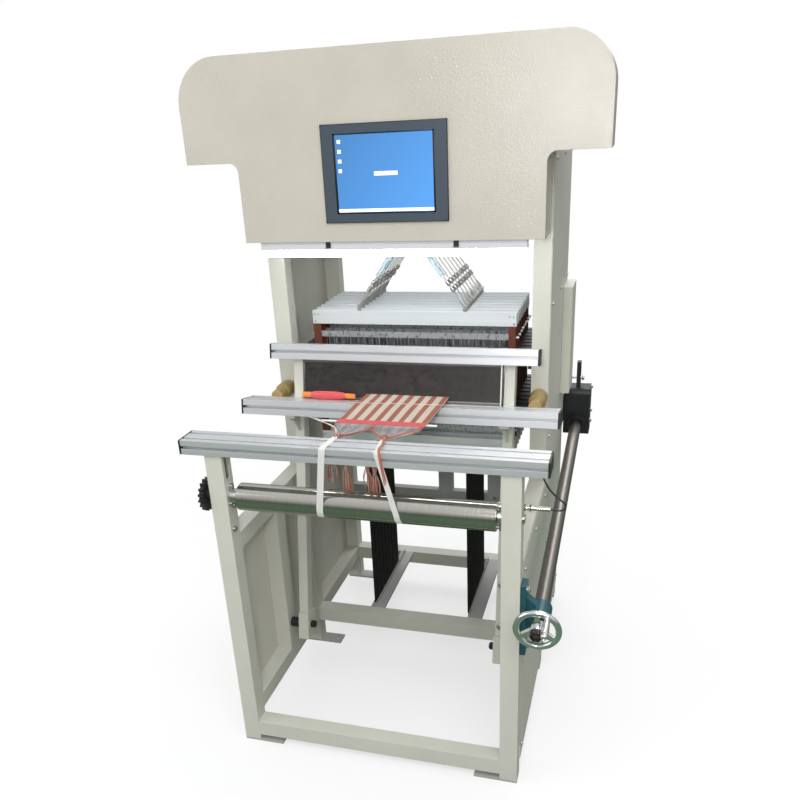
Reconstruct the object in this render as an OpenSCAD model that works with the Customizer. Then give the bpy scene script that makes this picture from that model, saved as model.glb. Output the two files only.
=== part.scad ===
// Sample shuttle loom: steel frame, swinging batten, eight lifted heald frames,
// cloth roller and a hand-wheel that turns the warp beam through a side shaft.
// X runs to the right, Y to the back, Z up. Millimetres.

/* [Frame] */
// Outer half width of the side frames
frame_half_w = 425; // [415:5:450]
// Side of the square steel tube
tube = 50; // [45:1:55]
// Wall of the square tube
tube_wall = 2.5; // [2:0.5:4]
// Height of the front legs
leg_top = 965.7; // [940:0.1:980]
// Front face of the front columns, behind the front face of the legs
column_y = 550; // [540:5:580]
// Space behind the last heald frame, to the rear face of the rear columns
rear_space = 144; // [130:1:170]
// How far the columns end below the top of the hood
column_drop = 53; // [40:1:70]
// Bottom of the front cross rail
front_rail_z = 24; // [15:1:60]
// Bottom of the base rails
base_rail_z = 94; // [80:1:120]
// Bottom of the top side rails
top_rail_z = 661; // [640:1:690]
// Length of a foot plate
foot_len = 125; // [110:5:140]
// Thickness of a foot plate
foot_t = 6; // [4:1:8]
// Depth of the open slot at the top of the left leg
leg_slot_depth = 78; // [50:1:100]
// Width of the open slot in the left leg
leg_slot_w = 22; // [16:1:28]
// Thickness of the side sheets
sheet_t = 1.7; // [1.2:0.1:2.5]
// Lower edge of the side sheets
sheet_z = 48; // [30:1:60]

/* [Rear stand] */
// Bottom of the rear stand's cross bar
stand_z = 398; // [380:1:420]
// Height of the rear stand's cross bar
stand_bar_h = 32; // [25:1:40]
// Width of each upright of the rear stand
upright_w = 54; // [40:1:60]
// Depth of the rear stand's tubes
stand_d = 30; // [25:1:40]
// Middle of the left upright
left_upright_x = 0; // [-20:1:20]
// Middle of the right upright
right_upright_x = 190; // [170:1:210]
// Top of the uprights
upright_top = 690; // [600:5:690]

/* [Hood] */
// How far each wing of the hood reaches past the frame
wing_reach = 150; // [130:5:180]
// How far the hood's lower part stays inside the frame's sides
hood_side_in = 4; // [0:1:10]
// Height of the hood
hood_h = 477; // [450:1:500]
// Height of the wings' lower edge above the bottom of the hood
wing_rise = 212; // [195:1:230]
// Height of the hood's bottom above the heald frames
hood_rise = 238; // [220:1:260]
// Depth of the hood in front of the columns
hood_depth = 150; // [140:1:160]
// Radius of the hood's upper corners
hood_corner_r = 118; // [90:1:135]
// Radius of the inner corner under each wing
wing_fillet_r = 26; // [10:1:35]
// Thickness of the hood's sheet
hood_t = 2; // [1.5:0.5:3]
// Inward flange at the hood's lower edge
hood_flange = 38; // [30:1:42]

/* [Monitor] */
// Width of the bezel
bezel_w = 340; // [320:1:360]
// Height of the bezel
bezel_h = 247; // [230:1:260]
// Corner radius of the bezel
bezel_r = 12; // [8:1:16]
// Height of the monitor's middle above the bottom of the hood
monitor_rise = 174; // [160:1:190]
// How far the bezel stands out of the hood
bezel_out = 6; // [4:1:8]
// Width of the screen
screen_w = 267; // [250:1:275]
// Height of the screen
screen_h = 195; // [185:1:200]
// How deep the screen lies in the bezel
screen_sink = 2.5; // [1:0.5:3]
// Depth of the monitor's case behind the hood
monitor_depth = 42; // [30:1:60]

/* [Lamp] */
// How far the lamp reaches past the left column's inner face
lamp_left_over = 4; // [0:1:10]
// How far the lamp reaches past the right column's inner face
lamp_right_over = 0; // [0:1:10]
// Depth of the lamp housing
lamp_w = 30; // [26:1:32]
// Height of the lamp housing
lamp_h = 22; // [18:1:26]
// Drop of the rounded diffuser under the housing
diffuser_drop = 20; // [14:1:24]
// Place of the left clip
clip_left_x = -175; // [-190:1:-160]
// Place of the right clip
clip_right_x = 187; // [170:1:200]

/* [Breast beam] */
// Half length of the breast beam with its caps
breast_half_len = 492; // [480:1:500]
// Side of one cell of the breast beam's profile
breast_cell = 40; // [38:1:42]
// Front face of the breast beam
breast_y = -9; // [-15:1:-5]
// Thickness of the plastic end caps
cap_t = 5; // [3:0.5:6]
// Mouth of the T slots
slot_mouth = 8.2; // [7:0.2:9]

/* [Cloth roller] */
// Diameter of the cloth roller
roller_d = 76; // [72:1:80]
// Depth of the roller's axis under the top of the legs
roller_drop = 127.7; // [115:0.1:140]
// Space between the roller and the left leg
roller_left_gap = 30; // [25:1:40]
// Space between the roller and the right leg
roller_right_gap = 12; // [11:1:25]
// Distance of the bearing bolts from the roller's axis
bearing_bolt_z = 29; // [27:1:32]
// Diameter of the roller's shaft
roller_shaft_d = 25; // [22:1:28]
// Outer diameter of the sprocket
sprocket_d = 95; // [85:1:105]
// Number of teeth of the sprocket
sprocket_teeth = 17; // [14:1:20]
// Thickness of the sprocket
sprocket_t = 12; // [8:1:14]

/* [Side shaft] */
// Distance of the side shaft from the frame's outer face
shaft_out = 50; // [48:0.5:53]
// Height of the shaft axis at the front face of the legs
shaft_z = 565; // [560:1:570]
// Rise of the shaft towards the rear
shaft_rise = 7.2; // [6.8:0.1:7.6]
// Diameter of the side shaft
shaft_d = 40; // [38:1:42]
// Diameter of the shaft's journals
journal_d = 20; // [18:1:22]
// Diameter of the hand-wheel
wheel_d = 125; // [120:1:130]
// Diameter of the hand-wheel's rim
rim_d = 17; // [14:1:18]
// Distance of the hand-wheel's middle in front of the legs
wheel_out = 42; // [40:1:46]
// Length of the revolving grip
grip_len = 72; // [60:1:80]
// Largest diameter of the grip
grip_d = 20; // [18:1:22]
// Diameter of the grip's pin
grip_pin_d = 8; // [7:0.5:9]
// How far the gear housing reaches behind the warp beam's axis
housing_over = 55; // [50:1:60]
// Length of the gear housing from front to rear
housing_len = 95; // [90:1:100]
// Width of the gear housing across the loom
housing_w = 92; // [90:1:96]
// Height of the gear housing above and below its two axes, taken together
housing_round = 119.2; // [110:0.1:130]
// How far the shaft bracket reaches below the shaft
bracket_below = 120; // [110:1:130]
// How far the shaft bracket reaches above the shaft
bracket_above = 90; // [85:1:100]

/* [Batten] */
// Backward lean of the batten at rest
batten_lean = 11; // [10:0.5:12]
// Distance of the pivot axis in front of the columns
pivot_before = 228; // [220:1:235]
// Height of the pivot axis
pivot_z = 235; // [230:1:240]
// Space between each sword and the frame
sword_gap = 35; // [34:1:38]
// Width of a sword
sword_w = 30; // [26:1:32]
// Depth of a sword
sword_d = 40; // [36:1:42]
// Space between the warp and the front edge of the race beam at rest
race_gap = 3; // [2:0.5:4]
// Side of one cell of the race beam's and the reed cap's profile
race_cell = 45; // [44:0.5:46]
// Half length of the race beam with its caps
race_half_len = 479; // [470:1:490]
// Half length of the reed cap with its ends
reed_cap_half_len = 410; // [400:1:415]
// Height of the reed between race beam and reed cap
reed_h = 119; // [110:1:125]
// Space between the reed and each sword
reed_side_gap = 2; // [1:1:10]
// Thickness of the reed
reed_t = 6; // [4:1:8]
// Number of gaps in the reed
reed_gaps = 110; // [60:1:118]
// Share of the reed's pitch that is open
reed_open = 0.5; // [0.4:0.05:0.6]
// Diameter of the pivot pins
pivot_d = 16; // [14:1:18]
// Length of the pirn
pirn_len = 170; // [150:1:190]
// Largest diameter of the wound pirn
pirn_d = 25; // [22:1:28]
// Space between the pirn and the left end of the reed
pirn_gap = 4; // [2:1:20]

/* [Healds] */
// Distance from one heald frame to the next
heald_pitch = 40; // [36:1:40]
// Distance of the first heald frame behind the front face of the columns
heald_inset = 60; // [56:1:64]
// Thickness of a heald frame's slats
heald_t = 12; // [10:1:13]
// Space between each end of a heald frame and the frame
heald_side_gap = 53; // [51:1:60]
// Height of a heald frame
heald_h = 445; // [430:1:460]
// Bottom of the heald frames at rest
heald_z = 773; // [765:1:780]
// Height of the slats
slat_h = 42; // [36:1:44]
// Width of the side posts
post_w = 24; // [20:1:26]
// Height of the heddle bars
heddle_bar_h = 18; // [12:1:20]
// Space between a slat and its heddle bar
heddle_gap = 24; // [18:1:30]
// Number of heddles drawn in each frame
heddle_count = 24; // [12:1:30]
// Distance of the cable hooks from the middle
hook_x = 167; // [150:1:180]
// Depth under the hood at which the cables meet the lift rod
lift_drop = 10; // [4:1:20]
// Diameter of the lift rods
lift_rod_d = 10; // [8:1:12]
// Diameter of the lift cylinders
cylinder_d = 32; // [28:1:34]
// Longest lift of a heald frame
heald_lift = 60; // [40:1:62]

/* [Bands] */
// Middle of the left spring rail
left_rail_x = -165; // [-172:1:-158]
// Middle of the right spring rail
right_rail_x = 190; // [184:1:196]
// Place of the left notched strip and its bands
left_band_x = -172; // [-176:1:-168]
// Place of the right notched strip and its bands
right_band_x = 168; // [167:1:172]
// Width of a spring rail
rail_w = 50; // [44:1:54]
// Number of notches in a spring rail
rail_notches = 18; // [10:1:20]
// Width of an elastic band
band_w = 35; // [30:1:35]
// Thickness of an elastic band
band_t = 4; // [3:0.5:5]

/* [Warp] */
// Diameter of the warp beam's flanges
flange_d = 220; // [200:5:230]
// Diameter of the wound warp
warp_roll_d = 150; // [120:5:160]
// Space between the warp beam's winding width and the frame
beam_side_gap = 45; // [40:1:65]
// Distance of the warp beam's axis behind the columns
beam_back = 76; // [74:1:82]
// Height of the warp beam's axis
beam_z = 762; // [760:1:770]
// Left edge of the warp
warp_left = -112; // [-120:1:-100]
// Right edge of the warp
warp_right = 145; // [130:1:155]
// Depth of the warp sheet under the top of the breast beam
warp_drop = 2; // [1:0.5:3]
// Thickness of the warp sheet
warp_t = 1.2; // [1:0.1:1.5]
// Distance of the fell in front of the batten's pivot axis
fell_before = 107; // [97:1:117]
// Diameter of the rod under the fell
tie_rod_d = 6; // [4:1:8]
// Length of the rod under the fell
tie_rod_len = 330; // [300:1:340]
// Distance of the back rest's middle behind the columns
rest_back = 56; // [50:1:60]
// Diameter of the back rest
back_rest_d = 48; // [44:1:50]

/* [Cable cover] */
// Length of the cable cover on the right tower sheet
cable_cover_len = 135; // [120:1:150]
// Height of the cable cover
cable_cover_h = 358; // [330:1:380]
// Bottom of the cable cover
cable_cover_z = 870; // [850:1:890]
// How far the cable cover stands out of the frame
cable_cover_out = 32; // [28:1:36]

/* [Fits] */
// Radial clearance of a turning or sliding fit
fit = 0.08; // [0.03:0.01:0.1]
// Space between pieces that seat on each other on different bodies
seat = 0.3; // [0.2:0.05:0.4]

/* [Hidden] */
$fn = 48;
eps = 0.01;
heald_count = 8;
inner_x = frame_half_w - tube;
pivot_y = column_y - pivot_before;
fell_y = pivot_y - fell_before;
heald_y = column_y + heald_inset;
heald_top = heald_z + heald_h;
heald_half_w = inner_x - heald_side_gap;
heald_pitch_y = [for (i = [0 : heald_count - 1]) heald_y + i * heald_pitch];
opening_low = heald_z + slat_h;
opening_top = heald_top - slat_h;
guide_x = heald_half_w + 2;
guide_gap = 0.5;
stack_back = heald_y + (heald_count - 1) * heald_pitch + heald_t;
frame_depth = heald_y + heald_count * heald_pitch + rear_space;
rear_col_y = frame_depth - tube;
base_rail_top = base_rail_z + tube;
top_rail_top = top_rail_z + tube;
hood_z = heald_top + hood_rise;
hood_top = hood_z + hood_h;
wing_z = hood_z + wing_rise;
monitor_z = hood_z + monitor_rise;
hood_y = column_y - hood_depth;
hood_half_w = frame_half_w + wing_reach;
hood_low_half_w = frame_half_w - hood_side_in;
column_top = hood_top - column_drop;
cover_top = column_top + hood_t;
lamp_left = -inner_x - lamp_left_over;
lamp_right = inner_x + lamp_right_over;
lamp_y = hood_y + hood_t + hood_flange / 2;
lamp_top = hood_z - seat;
clip_t = 1.5;
clip_w = 14;
breast_z = leg_top + seat;
breast_depth = 2 * breast_cell;
breast_top = breast_z + breast_cell;
warp_z = breast_top - warp_drop;
roller_y = tube / 2;
roller_z = leg_top - roller_drop;
roller_left = -inner_x + roller_left_gap;
roller_right = inner_x - roller_right_gap;
roller_bore_r = roller_shaft_d / 2 + fit;
sprocket_x = -frame_half_w - 14;
sword_x = inner_x - sword_gap;
reed_half_w = sword_x - sword_w - reed_side_gap;
race_y = -sword_d / 2 - 2 * race_cell;
race_top = (warp_z - race_gap - pivot_z + race_y * sin(batten_lean)) / cos(batten_lean);
race_low = race_top - race_cell;
cap_low = race_top + reed_h;
reed_y = race_y + 2 * race_cell - reed_t - 2;
sword_top = cap_low;
race_back = race_y + 2 * race_cell;
race_corner_y = pivot_y + race_back * cos(batten_lean) + race_top * sin(batten_lean);
race_corner_z = pivot_z - race_back * sin(batten_lean) + race_top * cos(batten_lean);
buffer_front = race_corner_y + seat;
buffer_x = inner_x + tube / 2;
foot_x = sword_x - sword_w - 4;
pin_start = foot_x - 16;
tab_h = 11;
clevis_w = 22;
clevis_above = 16;
notch_depth = 10;
comb_h = 18;
nose_len = 15;
rod_in_cylinder = 32;
lift_z = hood_z - lift_drop;
cylinder_z = lift_z + clevis_above + heald_lift + nose_len + 3;
cylinder_len = rod_in_cylinder + heald_lift + 78;
rod_top = cylinder_z + rod_in_cylinder;
carrier_half_w = 60;
grip_angle = 62;
grip_reach = wheel_d / 2 - rim_d / 2;
wheel_front = wheel_out + rim_d / 2;
grip_end = wheel_front + 3 + grip_len;
front_reach = grip_end * cos(shaft_rise) + (grip_reach * sin(grip_angle) + grip_d * 0.3) * sin(shaft_rise);
beam_y = frame_depth + beam_back;
beam_half_w = inner_x - beam_side_gap;
rear_reach = beam_y + flange_d / 2;
origin_y = (rear_reach - front_reach) / 2;
shaft_x = frame_half_w + shaft_out;
housing_x = frame_half_w + 3;
housing_back = beam_y + housing_over;
bracket_t = 15;
bracket_edge = 20;
back_rest_r = back_rest_d / 2;
back_rest_y = frame_depth + rest_back;
back_rest_z = warp_z - seat - back_rest_r;
sheet_back = stack_back + 3;
knot_y = breast_y + breast_depth + 9;
left_knot_x = -73;
right_knot_x = 55;
tape_w = 17;
tape_t = 1;
knot_d = 9;
sheet_front = knot_y + knot_d + seat;
tie_rod_x = 3;
sensor_y = 40;
sensor_z = roller_z + 24;

cream = "#cfc9b9";
cream_dark = "#b9b4a6";
aluminium = "#c6cace";
chrome = "#d4d6d8";
black = "#1c1d1f";
steel = "#8c8d8f";
teal = "#1f5b62";

// Everything is drawn from the legs' front face and brought to the origin here
module placed() {
    translate([0, -origin_y, 0]) children();
}

// Both sides of the loom
module both_sides() {
    children();
    mirror([1, 0, 0]) children();
}

// A box given by its lowest and highest corners
module span(low, high) {
    translate(low) cube([high[0] - low[0], high[1] - low[1], high[2] - low[2]]);
}

// A cylinder along X
module rod_x(x1, x2, d) {
    translate([x1, 0, 0]) rotate([0, 90, 0]) cylinder(d = d, h = x2 - x1);
}

// A cylinder along Y
module rod_y(y1, y2, d) {
    translate([0, y1, 0]) rotate([-90, 0, 0]) cylinder(d = d, h = y2 - y1);
}

// A rounded rectangle about the middle
module rounded_rect(w, h, r) {
    square([w - 2 * r, h], center = true);
    square([w, h - 2 * r], center = true);
    for (x = [-1, 1], y = [-1, 1]) translate([x * (w / 2 - r), y * (h / 2 - r)]) circle(r = r);
}

// A hexagon nut or bolt head along Z
module hexagon(across_corners, h) {
    cylinder(d = across_corners, h = h, $fn = 6);
}

// Vertical square tube with its cavity open at the top
module leg_tube() {
    difference() {
        span([inner_x, 0, foot_t], [frame_half_w, tube, leg_top]);
        span([inner_x + tube_wall, tube_wall, foot_t + 3], [frame_half_w - tube_wall, tube - tube_wall, leg_top + 1]);
        translate([0, roller_y, roller_z]) rod_x(inner_x - 1, frame_half_w + 1, roller_shaft_d + 6);
    }
}

// The left leg also has a slot down its inner wall, round at the bottom
module front_legs() {
    slot_end = leg_top - leg_slot_depth + leg_slot_w / 2;
    color(cream) placed() {
        leg_tube();
        difference() {
            mirror([1, 0, 0]) leg_tube();
            span([-inner_x - tube_wall - 1, roller_y - leg_slot_w / 2, slot_end],
                [-inner_x + 1, roller_y + leg_slot_w / 2, leg_top + 1]);
            translate([0, roller_y, slot_end]) rod_x(-inner_x - tube_wall - 1, -inner_x + 1, leg_slot_w);
        }
    }
}

module column_pair(y) {
    both_sides() span([inner_x, y, foot_t], [frame_half_w, y + tube, column_top]);
}

module front_columns() {
    color(cream) placed() column_pair(column_y);
}

module rear_columns() {
    color(cream) placed() column_pair(rear_col_y);
}

// Posts that carry the batten's pivots
module pivot_posts() {
    color(cream) placed() both_sides()
        span([inner_x, pivot_y - 30, base_rail_top], [frame_half_w, pivot_y + 30, top_rail_z]);
}

module side_rails() {
    color(cream) placed() both_sides() {
        span([inner_x, tube, base_rail_z], [frame_half_w, column_y, base_rail_top]);
        span([inner_x, column_y + tube, base_rail_z], [frame_half_w, rear_col_y, base_rail_top]);
        span([inner_x, tube, top_rail_z], [frame_half_w, column_y, top_rail_top]);
    }
}

module cross_rails() {
    color(cream) placed() {
        span([-inner_x, 0, front_rail_z], [inner_x, tube, front_rail_z + tube]);
        span([-inner_x, column_y, base_rail_z], [inner_x, column_y + tube, base_rail_top]);
        span([-inner_x, rear_col_y, base_rail_z], [inner_x, frame_depth, base_rail_top]);
    }
}

// Cross bar between the rear columns with two uprights
module rear_stand() {
    color(cream_dark) placed() {
        span([-inner_x, rear_col_y, stand_z], [inner_x, rear_col_y + stand_d, stand_z + stand_bar_h]);
        for (x = [left_upright_x, right_upright_x])
            span([x - upright_w / 2, rear_col_y, stand_z + stand_bar_h],
                [x + upright_w / 2, rear_col_y + stand_d, upright_top]);
    }
}

module foot_plate(y) {
    difference() {
        span([frame_half_w - foot_len, y, 0], [frame_half_w, y + tube, foot_t]);
        translate([frame_half_w - foot_len + 20, y + tube / 2, -1]) cylinder(d = 12, h = foot_t + 2);
    }
}

module foot_plates() {
    color(cream_dark) placed() both_sides() for (y = [0, column_y, rear_col_y]) foot_plate(y);
}

// Sheet with its edges folded back against the frame
module folded_sheet(y1, y2, z1, z2) {
    x = frame_half_w + seat;
    span([x, y1, z1], [x + sheet_t, y2, z2]);
}

module side_sheets() {
    color(cream) placed() both_sides() folded_sheet(tube + 2, column_y - 0.5, sheet_z, top_rail_top - 6);
}

module tower_sheets() {
    color(cream) placed() both_sides() folded_sheet(column_y + 0.5, frame_depth, sheet_z, cover_top - hood_t - seat);
}

// Folded cover over the top and the upper back of the tower
module tower_cover() {
    half = frame_half_w + seat + sheet_t;
    color(cream) placed() {
        span([-half, column_y + seat, cover_top - hood_t], [half, frame_depth + hood_t, cover_top]);
        span([-half, frame_depth, hood_z + 20], [half, frame_depth + hood_t, cover_top - eps]);
    }
}

// Front outline of the hood, drawn smaller by the inset
module hood_outline(inset, open_bottom) {
    r = hood_corner_r - inset;
    half = hood_half_w - inset;
    low_half = hood_low_half_w - inset;
    bottom = open_bottom ? hood_z - 1 : hood_z;
    difference() {
        union() {
            translate([-half, wing_z + inset]) square([2 * half, hood_top - wing_z - inset - hood_corner_r]);
            translate([-half + r, hood_top - hood_corner_r - 1]) square([2 * half - 2 * r, r + 1]);
            for (side = [-1, 1]) translate([side * (half - r), hood_top - hood_corner_r]) circle(r = r, $fn = 96);
            translate([-low_half - wing_fillet_r, wing_z - wing_fillet_r + inset])
                square([2 * low_half + 2 * wing_fillet_r, wing_fillet_r + 1]);
            translate([-low_half, bottom]) square([2 * low_half, wing_z - bottom + 1]);
        }
        for (side = [-1, 1]) translate([side * (low_half + wing_fillet_r), wing_z - wing_fillet_r + inset])
            circle(r = wing_fillet_r);
    }
}

module hood_shell() {
    depth = column_y - hood_y - seat;
    color(cream) placed() {
        difference() {
            translate([0, hood_y + depth, 0]) rotate([90, 0, 0]) linear_extrude(depth) hood_outline(0, false);
            translate([0, hood_y + depth + 1, 0]) rotate([90, 0, 0])
                linear_extrude(depth + 1 - hood_t) hood_outline(hood_t, true);
            translate([0, hood_y - 1, monitor_z]) rotate([-90, 0, 0])
                linear_extrude(hood_t + 2) square([bezel_w - 20, bezel_h - 20], center = true);
        }
        span([-hood_low_half_w + hood_t - eps, hood_y + hood_t - eps, hood_z],
            [hood_low_half_w - hood_t + eps, hood_y + hood_t + hood_flange, hood_z + hood_t]);
    }
}

module monitor_bezel() {
    color("#2f3338") placed() translate([0, 0, monitor_z]) difference() {
        union() {
            translate([0, hood_y, 0]) rotate([90, 0, 0]) linear_extrude(bezel_out) rounded_rect(bezel_w, bezel_h, bezel_r);
            translate([0, hood_y + monitor_depth, 0]) rotate([90, 0, 0])
                linear_extrude(monitor_depth + 1) square([bezel_w - 22, bezel_h - 22], center = true);
        }
        translate([0, hood_y - bezel_out + screen_sink + 3, 0]) rotate([90, 0, 0])
            linear_extrude(bezel_out + 6) rounded_rect(screen_w + 8, screen_h + 8, 4);
    }
}

module monitor_screen() {
    color("#3f7fd0") placed() translate([0, hood_y - bezel_out + screen_sink + 3, monitor_z]) rotate([90, 0, 0])
        linear_extrude(3) rounded_rect(screen_w + 7.4, screen_h + 7.4, 4);
}

module lamp_housing() {
    color("#e8e8e4") placed() difference() {
        span([lamp_left, lamp_y - lamp_w / 2, lamp_top - lamp_h], [lamp_right, lamp_y + lamp_w / 2, lamp_top]);
        for (side = [-1, 1]) translate([lamp_left - 1, lamp_y + side * (lamp_w / 2 + 2), lamp_top - lamp_h / 2])
            rotate([45, 0, 0]) cube([lamp_right - lamp_left + 2, 5, 5]);
    }
}

module lamp_diffuser() {
    color("white") placed() translate([0, lamp_y, lamp_top - lamp_h]) intersection() {
        translate([lamp_left + 4, 0, lamp_w / 2 - 2 - diffuser_drop + 0.5]) rotate([0, 90, 0])
            cylinder(r = lamp_w / 2 - 0.5, h = lamp_right - lamp_left - 8);
        span([lamp_left, -lamp_w, -2 * lamp_w], [lamp_right, lamp_w, 0]);
    }
}

// Bent clips that hold the lamp under the hood's flange
module lamp_clips() {
    color("#8f9296") placed() for (x = [clip_left_x, clip_right_x]) {
        y1 = lamp_y - lamp_w / 2 - seat - clip_t;
        span([x - clip_w / 2, y1, lamp_top - lamp_h + 6], [x + clip_w / 2, y1 + clip_t, hood_z]);
        span([x - clip_w / 2, y1 - 6, lamp_top - lamp_h + 6], [x + clip_w / 2, y1 + eps, lamp_top - lamp_h + 6 + clip_t]);
    }
}

// Bridge between the columns that the lift cylinders hang from
module lift_carrier() {
    plate_z = cylinder_z + cylinder_len;
    color(cream_dark) placed() {
        span([-carrier_half_w, column_y, plate_z], [carrier_half_w, frame_depth, plate_z + 10]);
        for (y = [column_y, rear_col_y]) span([-inner_x, y, plate_z + 10 - eps], [inner_x, y + tube, plate_z + 60]);
    }
}

module lift_cylinders() {
    color(aluminium) placed() for (y = heald_pitch_y) translate([0, y + heald_t / 2, 0]) difference() {
        union() {
            translate([0, 0, cylinder_z]) cylinder(d = cylinder_d, h = cylinder_len);
            translate([0, 0, cylinder_z - nose_len]) cylinder(d = cylinder_d * 0.65, h = nose_len + 1);
        }
        translate([0, 0, cylinder_z - nose_len - 1])
            cylinder(r = lift_rod_d / 2 + fit, h = nose_len + rod_in_cylinder + heald_lift + 22);
    }
}

// Outline of one T slot that opens towards +Y of the cell, with the mouth at y = 0
module slot_outline(cell) {
    m = slot_mouth / 2;
    lip = cell * 0.11;
    head = cell * 0.22;
    depth = cell * 0.31;
    polygon([[-m, 1], [-m, -lip], [-head, -lip], [-head, -lip - 2.5], [-m - 1, -depth], [m + 1, -depth],
        [head, -lip - 2.5], [head, -lip], [m, -lip], [m, 1]]);
}

// Extruded profile of two cells or one, seen along X: cells side by side in Y
module slot_profile(cells, cell) {
    difference() {
        translate([0.75, 0]) square([cells * cell - 1.5, cell]);
        for (i = [0 : cells - 1]) translate([(i + 0.5) * cell, 0]) {
            translate([0, cell]) slot_outline(cell);
            rotate(180) slot_outline(cell);
            translate([0, cell / 2]) circle(d = cell * 0.17);
        }
        translate([0.75, cell / 2]) rotate(90) slot_outline(cell);
        translate([cells * cell - 0.75, cell / 2]) rotate(-90) slot_outline(cell);
    }
}

// Profile with its length along X, its cells along Y and its height along Z
module slot_beam(cells, cell, half_len) {
    rotate([90, 0, 90]) translate([0, 0, -half_len]) linear_extrude(2 * half_len) slot_profile(cells, cell);
}

module breast_beam() {
    color(aluminium) placed() translate([0, breast_y, breast_z]) slot_beam(2, breast_cell, breast_half_len - cap_t);
}

module end_cap(cells, cell) {
    rotate([90, 0, 90]) linear_extrude(cap_t) translate([cells * cell / 2, cell / 2])
        rounded_rect(cells * cell, cell, 2);
}

module breast_beam_caps() {
    color(black) placed() translate([0, breast_y, breast_z]) {
        translate([breast_half_len - cap_t, 0, 0]) end_cap(2, breast_cell);
        translate([-breast_half_len, 0, 0]) end_cap(2, breast_cell);
    }
}

// Solid of revolution of the roller with its shaft through both legs
module cloth_roller() {
    color(chrome) placed() translate([0, roller_y, roller_z]) {
        rod_x(roller_left + 2, roller_right - 2, roller_d);
        rod_x(roller_left, roller_right, roller_d - 5);
        rod_x(sprocket_x - sprocket_t - 4, roller_left + 1, roller_shaft_d);
        rod_x(roller_right - 1, frame_half_w + 6, roller_shaft_d);
    }
}

module roller_bearings() {
    color("#6d7073") placed() translate([0, roller_y, roller_z]) difference() {
        union() {
            rod_x(-inner_x, roller_left - seat - 2, 40);
            rod_x(roller_right + seat + 1, inner_x, 40);
            for (z = [-bearing_bolt_z, bearing_bolt_z]) translate([0, 0, z]) {
                rod_x(-inner_x, -inner_x + 8, 17);
                rod_x(inner_x - 8, inner_x, 17);
            }
            span([-inner_x, -8.5, -bearing_bolt_z], [-inner_x + 8, 8.5, bearing_bolt_z]);
            span([inner_x - 8, -8.5, -bearing_bolt_z], [inner_x, 8.5, bearing_bolt_z]);
        }
        rod_x(-inner_x - 1, inner_x + 1, 2 * roller_bore_r);
    }
}

module roller_sprocket() {
    root = sprocket_d / 2 - 8;
    color(black) placed() translate([sprocket_x - sprocket_t, roller_y, roller_z]) rotate([0, 90, 0])
        difference() {
            union() {
                cylinder(r = root, h = sprocket_t);
                cylinder(d = 42, h = sprocket_t + 9);
                for (i = [0 : sprocket_teeth - 1]) rotate(i * 360 / sprocket_teeth)
                    linear_extrude(sprocket_t) polygon([[root - 2, -5.6], [root + 8, -2.2], [root + 8, 2.2], [root - 2, 5.6]]);
            }
            translate([0, 0, -1]) cylinder(r = roller_bore_r, h = sprocket_t + 12);
            for (i = [0 : 4]) rotate(i * 72) translate([root * 0.68, 0, -1]) cylinder(d = 9, h = sprocket_t + 2);
        }
}

// Frame of the side shaft: its own Y axis runs along the shaft from the front face of the legs
module along_shaft() {
    translate([shaft_x, 0, shaft_z]) rotate([shaft_rise, 0, 0]) children();
}

module shaft_bracket() {
    x = frame_half_w + seat;
    color(teal) placed() difference() {
        union() {
            span([x, 3, shaft_z - bracket_below], [x + bracket_t, tube - 3, shaft_z + bracket_above]);
            along_shaft() rod_y(2, tube - 2, 58);
            hull() {
                span([x, 12, shaft_z - 62], [x + bracket_t, 38, shaft_z - 18]);
                along_shaft() rod_y(14, 40, 30);
            }
            hull() {
                span([x, 12, shaft_z + 20], [x + bracket_t, 38, shaft_z + 54]);
                along_shaft() rod_y(14, 40, 34);
            }
        }
        along_shaft() rod_y(-10, tube + 20, journal_d + 2 * fit);
        for (z = [bracket_edge - bracket_below, bracket_above - bracket_edge])
            translate([0, tube / 2, shaft_z + z]) rod_x(frame_half_w - 1, x + bracket_t + 1, 11);
    }
}

module side_shaft() {
    shaft_end = (housing_back - housing_len) / cos(shaft_rise) - 4;
    color(steel) placed() along_shaft() {
        rod_y(-wheel_out - 26, 60, journal_d);
        rod_y(58, shaft_end, shaft_d);
        rod_y(shaft_end - 1, shaft_end + 50, journal_d);
    }
}

// Cast hand-wheel with three tapered spokes and the pin of the grip
module hand_wheel() {
    rim_r = wheel_d / 2 - rim_d / 2;
    color(chrome) placed() along_shaft() translate([0, -wheel_out, 0]) {
        difference() {
            union() {
                rotate([90, 0, 0]) rotate_extrude($fn = 96) translate([rim_r, 0]) circle(d = rim_d, $fn = 32);
                rod_y(-16, 18, 38);
                for (i = [0 : 2]) rotate([0, i * 120 + 30, 0])
                    hull() {
                        span([12, -6, -9], [16, 8, 9]);
                        span([rim_r - 2, -4, -6], [rim_r, 4, 6]);
                    }
            }
            rod_y(-30, 30, journal_d + 2 * fit);
        }
        translate([grip_reach * cos(grip_angle), 0, grip_reach * sin(grip_angle)]) {
            rod_y(-rim_d / 2 - 3, 0, 15);
            rod_y(-rim_d / 2 - 3 - grip_len + 7, 0, grip_pin_d);
            rod_y(-rim_d / 2 - 3 - grip_len + 3, -rim_d / 2 - 3 - grip_len + 7.01, grip_pin_d + 4);
        }
    }
}

module wheel_nut() {
    color("#2c2622") placed() along_shaft() difference() {
        translate([0, -wheel_out - 16, 0]) rotate([90, 0, 0]) hexagon(32, 14);
        rod_y(-wheel_out - 40, -wheel_out, journal_d + 2 * fit);
    }
}

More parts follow.
